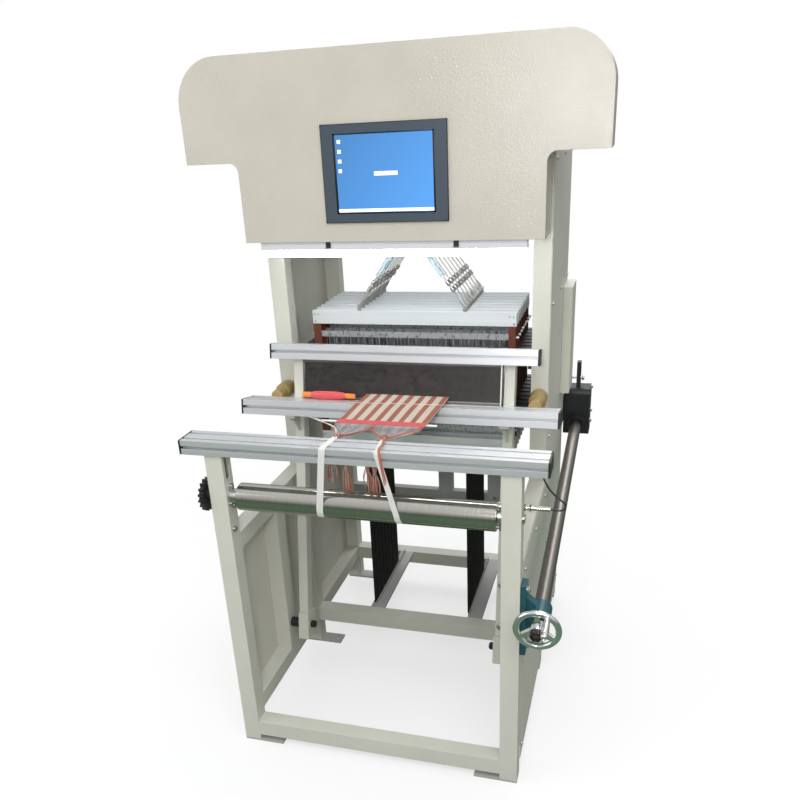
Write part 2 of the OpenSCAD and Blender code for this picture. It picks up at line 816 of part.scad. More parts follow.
// Revolving grip, turned to a waisted handle, bored for its pin and its head
module wheel_grip() {
    g = grip_d;
    n = grip_len;
    hole = grip_pin_d / 2 + fit;
    head = grip_pin_d / 2 + 2 + fit;
    color(chrome) placed() along_shaft()
        translate([grip_reach * cos(grip_angle), -wheel_front - 3 - seat, grip_reach * sin(grip_angle)])
            rotate([90, 0, 0]) rotate_extrude()
                polygon([[hole, 0], [g * 0.36, 0], [g * 0.4, n * 0.1], [g * 0.46, n * 0.3], [g * 0.5, n * 0.55],
                    [g * 0.5, n * 0.75], [g * 0.45, n * 0.92], [g * 0.3, n - seat], [head, n - seat],
                    [head, n - 7 - 2 * seat], [hole, n - 7 - 2 * seat]]);
}

// Box casting over the worm at the shaft's rear end and the warp beam's axle
module gear_housing() {
    front = housing_back - housing_len;
    height = shaft_z + front * tan(shaft_rise);
    box_h = abs(beam_z - height) + housing_round;
    color(black) placed() difference() {
        union() {
            rotate([90, 0, 90]) translate([0, 0, housing_x]) linear_extrude(housing_w)
                translate([housing_back - housing_len / 2 - 0.5, (height + beam_z) / 2 + 8])
                    rounded_rect(housing_len - 1, box_h, 22);
            intersection() {
                along_shaft() rod_y(front / cos(shaft_rise) - 26, front / cos(shaft_rise) + 30, 68);
                span([housing_x, 0, 0], [shaft_x + 60, housing_back, 2000]);
            }
            span([shaft_x - 7, housing_back - 70, beam_z + 60], [shaft_x + 7, housing_back - 42, beam_z + 160]);
        }
        along_shaft() rod_y(front / cos(shaft_rise) - 40, front / cos(shaft_rise) + 52, journal_d + 2 * fit);
        along_shaft() rod_y(front / cos(shaft_rise) - 40, front / cos(shaft_rise) - 3, shaft_d + 3);
        translate([0, beam_y, beam_z]) rod_x(housing_x - 1, housing_x + housing_w - 15, roller_shaft_d + 2 * fit);
    }
}

// Bearing blocks of the warp beam on the rear faces of the rear columns
module warp_beam_blocks() {
    color("#5b5e61") placed() both_sides() difference() {
        span([inner_x + 8, frame_depth, beam_z - 55], [housing_x - seat, beam_y + 32, beam_z + 55]);
        translate([0, beam_y, beam_z]) rod_x(inner_x - 5, frame_half_w + 10, roller_shaft_d + 2 * fit);
    }
}

module warp_beam() {
    color(steel) placed() translate([0, beam_y, beam_z]) {
        rod_x(-beam_half_w, beam_half_w, 90);
        for (x = [-beam_half_w - 8, beam_half_w]) rod_x(x, x + 8, flange_d);
        rod_x(-housing_x + 4, housing_x + housing_w - 18, roller_shaft_d);
        rod_x(warp_left, warp_right, warp_roll_d);
    }
}

// Fixed bar that turns the warp down to its beam, with a plate at each end
module back_rest() {
    color(chrome) placed() {
        translate([0, back_rest_y, back_rest_z]) rod_x(-inner_x - 2, inner_x + 2, 2 * back_rest_r);
        both_sides() span([inner_x, frame_depth, back_rest_z - 45], [inner_x + 8, back_rest_y + 32, back_rest_z + 28]);
    }
}

// Sheet of warp in front of the reed, drawn in to the two knots, and the sheet behind the healds
module warp_sheet() {
    reed_front_y = race_corner_y - (race_back - reed_y) * cos(batten_lean) - 4;
    drop_x = warp_right - warp_left;
    rest_r = back_rest_r + seat;
    run = back_rest_y + rest_r - beam_y;
    fall = back_rest_z - beam_z;
    way = sqrt(run * run + fall * fall);
    roll_r = warp_roll_d / 2 + seat;
    tilt = asin(roll_r / way) - atan2(run, fall);
    color("#b98d72") placed() {
        translate([0, 0, warp_z]) linear_extrude(warp_t)
            polygon([[warp_left + 3, reed_front_y], [warp_right + 1, reed_front_y], [warp_right, fell_y],
                [right_knot_x + 5, sheet_front], [right_knot_x - 5, sheet_front], [10, fell_y - 12],
                [left_knot_x + 5, sheet_front], [left_knot_x - 5, sheet_front], [warp_left, fell_y]]);
        span([warp_left, sheet_back, warp_z], [warp_right, back_rest_y, warp_z + warp_t]);
        translate([warp_left, back_rest_y, back_rest_z]) rotate([0, 90, 0]) linear_extrude(drop_x)
            intersection() {
                difference() {
                    circle(r = rest_r + warp_t);
                    circle(r = rest_r);
                }
                translate([-rest_r - 5, 0]) square([rest_r + 5, rest_r + 5]);
            }
        translate([warp_left, back_rest_y + rest_r, back_rest_z]) rotate([tilt, 0, 0])
            span([0, 0, -sqrt(way * way - roll_r * roll_r)], [drop_x, warp_t, eps]);
    }
}

module tie_rod() {
    r = tie_rod_d / 2;
    color("#e9e6df") placed() translate([tie_rod_x, fell_y - r, warp_z - r - seat])
        rod_x(-tie_rod_len / 2, tie_rod_len / 2, tie_rod_d);
}

// Tape with its knot, over the breast beam and down round the front of the roller
module apron_tape(x, shift) {
    top = breast_top + seat;
    edge = breast_y - seat;
    drop = top - roller_z;
    lean = atan2(edge - (roller_y - roller_d / 2 - seat), drop);
    span([x - tape_w / 2, edge - tape_t, top], [x + tape_w / 2, knot_y + knot_d / 3, top + tape_t]);
    translate([x, knot_y + knot_d / 2, warp_z + warp_t / 2]) rod_x(-7, 7, knot_d);
    translate([x, edge, top + tape_t]) rotate([0, atan2(-shift, drop), 0]) rotate([-lean, 0, 0])
        span([-tape_w / 2, -tape_t, -drop * 1.14], [tape_w / 2, 0, -eps]);
}

module apron_tapes() {
    color("#e4e1da") placed() {
        apron_tape(left_knot_x - 2, 22);
        apron_tape(right_knot_x + 6, -46);
    }
}

// Combs on the columns' inner faces that keep the heald frames apart
module heald_guides() {
    color(aluminium) placed() both_sides() for (z = [opening_low + 90, opening_top - 110]) {
        span([inner_x - 10, column_y, z], [inner_x, frame_depth, z + 30]);
        for (i = [0 : heald_count]) {
            y = heald_y + (i - 1) * heald_pitch + heald_t + guide_gap;
            span([guide_x - 14, max(y, heald_y - 14), z],
                [inner_x - 9, y + heald_pitch - heald_t - 2 * guide_gap, z + 30]);
        }
    }
}

// Two rails with a notched strip each, between the middle and the rear cross rail
module spring_rail(x, band_x) {
    low = base_rail_top - 10;
    back = rear_col_y;
    front = column_y + tube;
    pitch = (back - front) / rail_notches;
    span([x - rail_w / 2, front, low], [x + rail_w / 2, back, base_rail_top]);
    difference() {
        span([band_x - 2, front + 8, low + 9], [band_x + 2, back - 8, base_rail_top + comb_h]);
        for (i = [0 : rail_notches - 1])
            span([band_x - 3, front + (i + 0.5) * pitch - 4, base_rail_top + comb_h - notch_depth],
                [band_x + 3, front + (i + 0.5) * pitch + 4, base_rail_top + comb_h + 1]);
    }
}

module spring_rails() {
    color(cream_dark) placed() {
        spring_rail(left_rail_x, left_band_x);
        spring_rail(right_rail_x, right_band_x);
    }
}

// Elastic webbing from each heald frame's lower slat to the notched strips
module elastic_bands() {
    low = base_rail_top + comb_h + seat;
    color(black) placed() for (x = [left_band_x, right_band_x], y = heald_pitch_y)
        span([x - band_t / 2, y + heald_t / 2 - band_w / 2, low],
            [x + band_t / 2, y + heald_t / 2 + band_w / 2, heald_z - seat]);
}

module cable_cover() {
    color(cream) placed()
        span([frame_half_w + seat + sheet_t + seat, frame_depth - 4 - cable_cover_len, cable_cover_z],
            [frame_half_w + cable_cover_out, frame_depth - 4, cable_cover_z + cable_cover_h]);
}

// Turned rubber buffers on the front columns
module buffers() {
    len = column_y - buffer_front;
    color("#b79a5a") placed() both_sides() translate([buffer_x, column_y, race_corner_z]) rotate([90, 0, 0])
        rotate_extrude() polygon([[0, 0], [22, 0], [25, 3], [25, len * 0.5], [22, len * 0.56], [19, len * 0.6],
            [19, len * 0.7], [17, len * 0.72], [17, len * 0.76], [19, len * 0.78], [19, len - 2], [17, len], [0, len]]);
}

module proximity_sensor() {
    x = frame_half_w;
    color("#b9a06a") placed() translate([0, sensor_y, sensor_z]) {
        rod_x(x, x + 66, 12);
        for (s = [0, 14]) translate([x + s, 0, 0]) rotate([0, 90, 0]) hexagon(20, 5);
    }
}

// Middle line of the sensor's cable, chosen by hand
cable_d = 4.5;
cable_path = [[466, 55, 966], [466, 54, 958], [468, 53, 948], [472, 52, 936], [478, 51, 924], [486, 50, 912],
    [495, 49, 902], [505, 48, 893], [515, 46, 886], [523, 45, 879], [527, 43, 871], [523, 41, 864],
    [514, 40, 861], [503, 40, 861], [491.4, 40, 862]];
function unit(v) = v / norm(v);
function path_way(p, i) = unit(p[min(i + 1, len(p) - 1)] - p[max(i - 1, 0)]);
function ring(p, way, r, n) = let (a = unit(cross(way, [0, 1, 0.2])), b = cross(way, a))
    [for (k = [0 : n - 1]) p + r * cos(k * 360 / n) * a + r * sin(k * 360 / n) * b];

module tube_along(p, d, n) {
    m = len(p);
    points = [for (i = [0 : m - 1]) each ring(p[i], path_way(p, i), d / 2, n)];
    walls = [for (i = [0 : m - 2], k = [0 : n - 1])
        [i * n + k, i * n + (k + 1) % n, (i + 1) * n + (k + 1) % n, (i + 1) * n + k]];
    polyhedron(points = points, faces = concat([[for (k = [n - 1 : -1 : 0]) k]], walls,
        [[for (k = [0 : n - 1]) (m - 1) * n + k]]), convexity = 4);
}

module sensor_cable() {
    color(black) placed() tube_along(cable_path, cable_d, 8);
}

// Pin, bush and nut of each foot pivot
module pivot_pins() {
    color(black) placed() both_sides() translate([0, pivot_y, pivot_z]) {
        rod_x(pin_start, inner_x, pivot_d);
        rod_x(sword_x + seat, inner_x, 32);
        translate([foot_x - seat - 13, 0, 0]) rotate([0, 90, 0]) hexagon(26, 13);
    }
}

// Bolts of the frame: roller bearings, shaft bracket and rear stand
module frame_bolts() {
    color(steel) placed() {
        for (z = [-bearing_bolt_z, bearing_bolt_z]) translate([0, roller_y, roller_z + z]) {
            rod_x(-inner_x + 8, -inner_x + 11, 11);
            rod_x(inner_x - 11, inner_x - 8, 11);
        }
        for (z = [bracket_edge - bracket_below, bracket_above - bracket_edge])
            translate([frame_half_w + seat + bracket_t, tube / 2, shaft_z + z]) rotate([0, 90, 0]) {
                hexagon(19, 8);
                cylinder(d = 22, h = 1.5);
            }
        for (x = [left_upright_x, right_upright_x])
            translate([x, rear_col_y, stand_z + stand_bar_h / 2]) rod_y(-6, 0, 14);
    }
}

// The batten is drawn upright about its pivot and leant back here
module batten() {
    placed() translate([0, pivot_y, pivot_z]) rotate([-batten_lean, 0, 0]) children();
}

module sword() {
    x = sword_x - sword_w;
    difference() {
        union() {
            span([x, -sword_d / 2, 0], [sword_x, sword_d / 2, sword_top]);
            span([foot_x, -30, -45], [sword_x, 30, 46]);
            span([x, race_y + 12, race_low - 8], [sword_x, -sword_d / 2 + 1, race_low]);
            translate([x + sword_w / 2 - 3, 0, 0]) rotate([90, 0, 90]) linear_extrude(6)
                polygon([[-sword_d / 2 + 1, race_low - 8], [race_y + 20, race_low - 8], [-sword_d / 2 + 1, race_low - 62]]);
        }
        rod_x(x - 10, sword_x + 10, pivot_d + 2 * fit);
    }
    translate([x + 8, race_y + 34, race_low - 13]) hexagon(13, 6);
}

module sword_right() {
    color(cream) batten() sword();
}

module sword_left() {
    color(cream) batten() mirror([1, 0, 0]) sword();
}

module race_beam() {
    color(aluminium) batten() translate([0, race_y, race_low]) slot_beam(2, race_cell, race_half_len - cap_t);
}

module reed_cap() {
    color(aluminium) batten() translate([0, -race_cell + 2.5, cap_low])
        slot_beam(1, race_cell, reed_cap_half_len - cap_t);
}

module batten_caps() {
    color(black) batten() {
        translate([0, race_y, race_low]) {
            translate([race_half_len - cap_t, 0, 0]) end_cap(2, race_cell);
            translate([-race_half_len, 0, 0]) end_cap(2, race_cell);
        }
        translate([0, -race_cell + 2.5, cap_low]) {
            translate([reed_cap_half_len - cap_t, 0, 0]) end_cap(1, race_cell);
            translate([-reed_cap_half_len, 0, 0]) end_cap(1, race_cell);
        }
    }
}

// Reed: a frame of two baulks and two end strips with a gap between each pair of dents
module reed() {
    half = reed_half_w - 12;
    pitch = 2 * half / reed_gaps;
    color("#4a4644") batten() difference() {
        span([-reed_half_w, reed_y, race_top], [reed_half_w, reed_y + reed_t, cap_low]);
        for (i = [0 : reed_gaps - 1])
            span([-half + (i + (1 - reed_open) / 2) * pitch, reed_y - 1, race_top + 15],
                [-half + (i + (1 + reed_open) / 2) * pitch, reed_y + reed_t + 1, cap_low - 12]);
    }
}

// Pirn with orange ends and wound yarn, lying on the race against the reed
module pirn() {
    n = pirn_len;
    r = pirn_d / 2;
    color("#e0583c") batten() translate([-reed_half_w + pirn_gap, reed_y - r - seat, race_top + r + seat]) rotate([0, 90, 0])
        rotate_extrude() polygon([[0, 0], [r * 0.62, 0], [r * 0.7, 4], [r * 0.7, 24], [r * 0.55, 28], [r * 0.82, 34],
            [r * 0.96, 50], [r, n * 0.45], [r * 0.96, n - 52], [r * 0.7, n - 34], [r * 0.5, n - 30], [r * 0.5, n - 3],
            [r * 0.4, n], [0, n]]);
}

// Straight cable from the hook to the lift rod, with its crimped sleeve and shackle
module lift_cable(side) {
    foot = [side * hook_x, 0, heald_top + tab_h + 3];
    way = [side * (clevis_w / 2 + 2 - hook_x), 0, lift_z - foot[2]];
    translate(foot) rotate([0, atan2(way[0], way[2]), 0]) {
        translate([0, 0, 3]) cylinder(d = 3.2, h = norm(way) - 3, $fn = 24);
        cylinder(d = 9, h = 16, $fn = 24);
        translate([0, 0, 16 - eps]) cylinder(d1 = 9, d2 = 5.5, h = 14, $fn = 24);
    }
}

module lift_rod() {
    span([-clevis_w / 2, -6, lift_z - 8], [clevis_w / 2, 6, lift_z + clevis_above]);
    translate([0, 0, lift_z + clevis_above - 1]) cylinder(d = lift_rod_d, h = rod_top - lift_z - clevis_above + 1);
}

// Slats, posts, heddle bars and heddles of one heald frame, drawn about y = 0
module heald_body() {
    half = heald_half_w;
    bar_low = opening_low + heddle_gap;
    bar_high = opening_top - heddle_gap;
    inner = half - post_w;
    difference() {
        union() {
            span([-half, -heald_t / 2, opening_top], [half, heald_t / 2, heald_top]);
            span([-half, -heald_t / 2, heald_z], [half, heald_t / 2, opening_low]);
            for (side = [-1, 1]) span([side > 0 ? inner : -half, -heald_t / 2 + 1, opening_low - 1],
                [side > 0 ? half - 2 : -inner, heald_t / 2 - 1, opening_top + 1]);
        }
        span([-half - 1, -heald_t / 2 + 1.5, heald_top - 4], [half + 1, heald_t / 2 - 1.5, heald_top + 1]);
    }
    for (z = [bar_low, bar_high - heddle_bar_h])
        span([-inner - 1, -1.5, z], [inner + 1, 1.5, z + heddle_bar_h]);
    for (i = [0 : heddle_count - 1]) {
        x = (i + 0.5 - heddle_count / 2) * 2 * (inner - 14) / heddle_count;
        span([x - 0.8, -3, bar_low - 8], [x + 0.8, 3, bar_high + 8]);
    }
    for (side = [-1, 1]) span([side * hook_x - 4, -2, heald_top - 5], [side * hook_x + 4, 2, heald_top + tab_h]);
}

module heald_frame(i) {
    color("#b9bec2") placed() translate([0, heald_y + (i - 1) * heald_pitch + heald_t / 2, 0]) {
        heald_body();
        lift_cable(-1);
        lift_cable(1);
        lift_rod();
    }
}

front_legs();
front_columns();
rear_columns();
pivot_posts();
side_rails();
cross_rails();
rear_stand();
foot_plates();
side_sheets();
tower_sheets();
tower_cover();
hood_shell();
monitor_bezel();
monitor_screen();
lamp_housing();
lamp_diffuser();
lamp_clips();
lift_carrier();
lift_cylinders();
breast_beam();
breast_beam_caps();
roller_bearings();
shaft_bracket();
proximity_sensor();
sensor_cable();
spring_rails();
elastic_bands();
heald_guides();
cable_cover();
buffers();
gear_housing();
warp_beam_blocks();
back_rest();
warp_sheet();
tie_rod();
apron_tapes();
pivot_pins();
frame_bolts();
cloth_roller();
roller_sprocket();
hand_wheel();
side_shaft();
wheel_nut();
wheel_grip();
warp_beam();
sword_left();
sword_right();
race_beam();
reed_cap();
reed();
batten_caps();
pirn();
heald_frame(1);  // heald_frame_1
heald_frame(2);  // heald_frame_2
heald_frame(3);  // heald_frame_3
heald_frame(4);  // heald_frame_4
heald_frame(5);  // heald_frame_5
heald_frame(6);  // heald_frame_6
heald_frame(7);  // heald_frame_7
heald_frame(8);  // heald_frame_8
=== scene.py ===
"""Dresses a sample shuttle loom: paint and metal, striped cloth, warp, healds, bands, cables and fittings."""

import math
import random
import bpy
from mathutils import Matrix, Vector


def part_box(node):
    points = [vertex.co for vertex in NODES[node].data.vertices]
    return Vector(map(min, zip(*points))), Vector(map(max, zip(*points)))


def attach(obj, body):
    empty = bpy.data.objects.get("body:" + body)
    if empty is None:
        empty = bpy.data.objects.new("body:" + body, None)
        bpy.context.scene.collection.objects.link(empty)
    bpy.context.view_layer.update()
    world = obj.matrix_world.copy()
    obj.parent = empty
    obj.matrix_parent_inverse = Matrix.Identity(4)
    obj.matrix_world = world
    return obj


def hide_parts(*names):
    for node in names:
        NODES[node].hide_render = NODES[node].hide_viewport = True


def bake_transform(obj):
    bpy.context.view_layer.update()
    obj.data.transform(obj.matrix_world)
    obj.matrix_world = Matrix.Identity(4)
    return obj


bl_info = {
    "name": "Sample shuttle loom",
    "version": (1, 0, 0),
    "blender": (4, 5, 0),
    "location": "3D View > Sidebar > Loom",
    "description": "Paint, warp, cloth, healds, cables, bands and fittings of a sample shuttle loom",
    "category": "Object",
}

import bpy
from bpy.props import FloatProperty, FloatVectorProperty, IntProperty, PointerProperty
from bpy.types import Operator, Panel, PropertyGroup
from mathutils import Matrix, Vector

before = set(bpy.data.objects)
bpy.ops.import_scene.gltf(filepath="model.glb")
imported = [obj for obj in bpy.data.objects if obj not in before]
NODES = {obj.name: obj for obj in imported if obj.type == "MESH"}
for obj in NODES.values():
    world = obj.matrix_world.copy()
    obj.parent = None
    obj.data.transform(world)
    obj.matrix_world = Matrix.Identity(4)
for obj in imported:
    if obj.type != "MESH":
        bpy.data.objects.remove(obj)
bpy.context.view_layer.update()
MM = 0.001
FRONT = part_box("front_legs")[0].y
HEALDS = [f"heald_{i}" for i in range(1, 9)]

# Places that several pieces share, in millimetres
HEALD_Y, HEALD_PITCH = 616, 40
CABLE_FOOT_X = 167
WARP_Z, WARP_LEFT, WARP_WIDTH, WARP_END_Y = 1004.6, -110, 253, 1126
FELL_LEFT, FELL_RIGHT = -112, 137
KNOT_Y, LEFT_KNOT, RIGHT_KNOT = 84, -73, 55.5
SCREEN_Z = 1630
# Width that the heddles of a frame share, in metres
HEDDLE_SPAN = 0.568


def at(x, y, z):
    """Point given in millimetres from the loom's middle, the legs' front face and the floor."""
    return Vector((x * MM, FRONT + y * MM, z * MM))


def through(points):
    return [at(*point) for point in points]


BATTEN_LEAN = math.radians(11)
BATTEN = Matrix.Translation(at(0, 322, 235)) @ Matrix.Rotation(-BATTEN_LEAN, 4, "X")


def on_batten(x, y, z):
    """Point given in millimetres on the upright batten, from its pivot line."""
    return BATTEN @ Vector((x * MM, y * MM, z * MM))


def heald_y(number):
    """Middle plane of a heald frame, counted from 0 at the front."""
    return HEALD_Y + number * HEALD_PITCH


def lift_cable(side, number=0):
    """Foot and top of a heald frame's lift cable. The side is -1 at the left and 1 at the right."""
    y = heald_y(number)
    return at(side * CABLE_FOOT_X, y, 1232), at(side * 13, y, 1446)


# Modelling helpers


def linked(name, data):
    """A new object in the scene."""
    piece = bpy.data.objects.new(name, data)
    bpy.context.scene.collection.objects.link(piece)
    return piece


def only(piece):
    """Select one piece and make it the active one."""
    bpy.ops.object.select_all(action="DESELECT")
    piece.select_set(True)
    bpy.context.view_layer.objects.active = piece


def settle(piece):
    """Put a piece's place, turn and size into its mesh."""
    only(piece)
    bpy.ops.object.transform_apply(location=True, rotation=True, scale=True)
    return piece


def onto_batten(piece, x=0, y=0, z=0):
    """Lean an upright piece with the batten, moved from the pivot line by millimetres."""
    piece.matrix_world = BATTEN @ Matrix.Translation(Vector((x * MM, y * MM, z * MM)))
    return settle(piece)


def apply_modifiers(piece):
    only(piece)
    for modifier in list(piece.modifiers):
        bpy.ops.object.modifier_apply(modifier=modifier.name)
    return piece


def soften(piece, width, angle=40):
    """Round the sharp edges of a piece."""
    bevel = piece.modifiers.new("Rounded edges", "BEVEL")
    bevel.width = width
    bevel.segments = 2
    bevel.limit_method = "ANGLE"
    bevel.angle_limit = math.radians(angle)
    bevel.use_clamp_overlap = True
    apply_modifiers(piece)
    bpy.ops.object.shade_smooth_by_angle(angle=math.radians(angle))
    return piece


def block(name, low, high, edge=0.0):
    """A block between two corners, its edges rounded."""
    low, high = Vector(low), Vector(high)
    bpy.ops.mesh.primitive_cube_add(size=1, location=(low + high) / 2, scale=high - low)
    piece = settle(bpy.context.object)
    piece.name = name
    return soften(piece, edge) if edge else piece


def bar(name, start, end, radius, sides, edge=0.0):
    """A round bar, or with few sides a hexagon, between two points."""
    start, end = Vector(start), Vector(end)
    way = end - start
    bpy.ops.mesh.primitive_cylinder_add(
        vertices=sides,
        radius=radius,
        depth=way.length,
        location=(start + end) / 2,
        rotation=way.to_track_quat("Z", "Y").to_euler(),
    )
    piece = settle(bpy.context.object)
    piece.name = name
    if edge:
        return soften(piece, edge, angle=50)
    bpy.ops.object.shade_smooth_by_angle(angle=math.radians(35))
    return piece


def joined(name, parts):
    """Several meshes as one piece."""
    bpy.ops.object.select_all(action="DESELECT")
    for part in parts:
        part.select_set(True)
    bpy.context.view_layer.objects.active = parts[0]
    if len(parts) > 1:
        bpy.ops.object.join()
    piece = bpy.context.view_layer.objects.active
    piece.name = name
    return piece


def in_a_row(piece, count, pitch):
    """Repeat a piece along X."""
    row = piece.modifiers.new("Row", "ARRAY")
    row.count = count
    row.use_relative_offset = False
    row.use_constant_offset = True
    row.constant_offset_displace = (pitch, 0, 0)
    return apply_modifiers(piece)


def copy_of(piece, name, shift):
    """A moved copy with its own mesh."""
    copy = linked(name, piece.data.copy())
    copy.location = shift
    return settle(copy)


def smooth_curve(name, routes, radius, sides, steps):
    """A round curve with closed ends along each route of points."""
    curve = bpy.data.curves.new(name, "CURVE")
    curve.dimensions = "3D"
    curve.bevel_depth = radius
    curve.bevel_resolution = sides
    curve.resolution_u = steps
    curve.use_fill_caps = True
    for route in routes:
        spline = curve.splines.new("BEZIER")
        spline.bezier_points.add(len(route) - 1)
        for knot, place in zip(spline.bezier_points, route):
            knot.co = place
            knot.handle_left_type = "AUTO"
            knot.handle_right_type = "AUTO"
    return linked(name, curve)


def strands(name, routes, radius, finish, sides, steps):
    """Yarns along smooth routes, as one mesh in its finish."""
    only(smooth_curve(name, routes, radius, sides, steps))
    bpy.ops.object.convert(target="MESH")
    bpy.ops.object.shade_smooth()
    return wear(bpy.context.object, finish)


def thin_sheet(name, rows, thick, angle, uv_name=None):
    """A sheet of even thickness through rows of points. A UV map runs across and along it."""
    columns = len(rows[0])
    corners = [r * columns + k for r in range(len(rows) - 1) for k in range(columns - 1)]
    faces = [(a, a + 1, a + columns + 1, a + columns) for a in corners]
    mesh = bpy.data.meshes.new(name)
    mesh.from_pydata([place for row in rows for place in row], [], faces)
    if uv_name:
        layer = mesh.uv_layers.new(name=uv_name)
        for loop in mesh.loops:
            row, column = divmod(loop.vertex_index, columns)
            layer.data[loop.index].uv = (column / (columns - 1), row / (len(rows) - 1))
    piece = linked(name, mesh)
    solid = piece.modifiers.new("Thickness", "SOLIDIFY")
    solid.thickness = thick
    solid.offset = 0
    apply_modifiers(piece)
    bpy.ops.object.shade_smooth_by_angle(angle=math.radians(angle))
    return piece


def ribbon(name, line, across, thick):
    """A flat strip along a line of points. Across gives its half width at each point as a vector."""
    rows = [[place + half * t for t in (-1, -0.5, 0, 0.5, 1)] for place, half in zip(line, across)]
    return thin_sheet(name, rows, thick, 60)


def wear(piece, finish):
    """Give a piece its finish alone."""
    piece.data.materials.clear()
    piece.data.materials.append(bpy.data.materials[finish])
    return piece


def fit(piece, body, finish):
    """Give a piece its finish and the body that it rides on."""
    wear(piece, finish)
    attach(piece, body)
    return piece


def hex_bolt(name, seat, way, size, washer=True, socket=False):
    """A bolt head on its washer: size is the head's width across corners, in metres."""
    seat, way = Vector(seat), Vector(way).normalized()
    washer_h, head_h, washer_r, socket_r = size * 0.1, size * 0.38, size * 0.62, size * 0.26
    parts = []
    base = seat
    if washer:
        parts.append(bar(name, seat, seat + way * washer_h, washer_r, 28, size * 0.02))
        base = seat + way * washer_h
    top = base + way * head_h
    parts.append(bar(name, base, top, size * 0.5, 28 if socket else 6, size * 0.04))
    if socket:
        parts.append(bar(name, top - way * size * 0.02, top + way * size * 0.015, socket_r, 6))
    return joined(name, parts)


# Finishes


def start_finish(name, colour, roughness, metallic=0.0, **sockets):
    """A new material with its plain values set on the shader."""
    finish = bpy.data.materials.new(name)
    finish.use_nodes = True
    values = {"Base Color": (*colour, 1), "Roughness": roughness, "Metallic": metallic, **sockets}
    for socket, value in values.items():
        shader_of(finish).inputs[socket.replace("_", " ")].default_value = value
    return finish


def shader_of(finish):
    return finish.node_tree.nodes["Principled BSDF"]


def add(owner, kind, **values):
    """Add a shader node to a material or world, and set its sockets or settings."""
    node = owner.node_tree.nodes.new("ShaderNode" + kind)
    for key, value in values.items():
        if key in {"operation", "blend_type", "data_type", "bands_direction", "samples", "uv_map"}:
            setattr(node, key, value)
        else:
            node.inputs[key.replace("_", " ")].default_value = value
    return node


def wire(owner, source, target):
    owner.node_tree.links.new(source, target)


def axes_of(owner, source):
    """The X, Y and Z of a vector."""
    parts = add(owner, "SeparateXYZ")
    wire(owner, source, parts.inputs["Vector"])
    return parts.outputs


def maths(owner, operation, source, *numbers):
    """The result of one operation on a source and fixed numbers."""
    node = add(owner, "Math", operation=operation)
    wire(owner, source, node.inputs[0])
    for socket, number in zip(node.inputs[1:], numbers):
        socket.default_value = number
    return node.outputs[0]


def object_space(finish, stretch=(1, 1, 1)):
    mapping = add(finish, "Mapping", Scale=stretch)
    wire(finish, add(finish, "TexCoord").outputs["Object"], mapping.inputs["Vector"])
    return mapping.outputs["Vector"]


def speckle(finish, space, scale, detail, roughness=0.55):
    noise = add(finish, "TexNoise", Scale=scale, Detail=detail, Roughness=roughness)
    wire(finish, space, noise.inputs["Vector"])
    return noise.outputs["Fac"]


def ramp(owner, source, stops, interpolation="LINEAR"):
    """A colour ramp with stops given as place and colour."""
    node = add(owner, "ValToRGB")
    node.color_ramp.interpolation = interpolation
    elements = node.color_ramp.elements
    while len(elements) < len(stops):
        elements.new(0.5)
    for element, (place, colour) in zip(elements, stops):
        element.position = place
        element.color = (*colour, 1)
    wire(owner, source, node.inputs["Fac"])
    return node.outputs["Color"]


def scaled(finish, source, low, high, from_low=0.3, from_high=0.7):
    node = add(finish, "MapRange", From_Min=from_low, From_Max=from_high, To_Min=low, To_Max=high)
    wire(finish, source, node.inputs["Value"])
    return node.outputs["Result"]


def shade(colour, factor):
    return tuple(channel * factor for channel in colour)


def tinted(finish, pattern, colour, tones):
    """Let the base colour follow a pattern: tones give a place in it and the colour's strength there."""
    stops = [(place, shade(colour, strength)) for place, strength in tones]
    wire(finish, ramp(finish, pattern, stops), shader_of(finish).inputs["Base Color"])


def roughened(finish, pattern, low, high):
    """Let the roughness follow a pattern."""
    wire(finish, scaled(finish, pattern, low, high), shader_of(finish).inputs["Roughness"])


def rough_surface(finish, height, strength, distance, edge=0.0):
    """Bump from a height, over edges that catch the light as if slightly rounded."""
    bump = add(finish, "Bump", Strength=strength, Distance=distance)
    wire(finish, height, bump.inputs["Height"])
    if edge:
        rounded = add(finish, "Bevel", Radius=edge, samples=4)
        wire(finish, rounded.outputs["Normal"], bump.inputs["Normal"])
    for socket in ("Normal", "Coat Normal"):
        wire(finish, bump.outputs["Normal"], shader_of(finish).inputs[socket])


def camera_sees(owner, paper, lit, output):
    """Show the paper to the camera, and the lit surface to every other ray."""
    mix = add(owner, "MixShader")
    wire(owner, add(owner, "LightPath").outputs["Is Camera Ray"], mix.inputs["Fac"])
    wire(owner, lit.outputs[0], mix.inputs[1])
    wire(owner, paper.outputs[0], mix.inputs[2])
    wire(owner, mix.outputs[0], owner.node_tree.nodes[output].inputs["Surface"])


def enamel(name, colour, roughness, texture, depth, coat=0.0):
    """Powder coat with a fine hammered skin and slight unevenness of tone."""
    finish = start_finish(name, colour, roughness, Coat_Weight=coat, Coat_Roughness=0.1)
    space = object_space(finish)
    tinted(finish, speckle(finish, space, 6, 5), colour, ((0.3, 0.95), (0.55, 1), (0.8, 1.03)))
    skin = speckle(finish, space, texture, 2, 0.5)
    roughened(finish, skin, roughness - 0.06, roughness + 0.08)
    rough_surface(finish, skin, 0.5, depth, 0.0015)


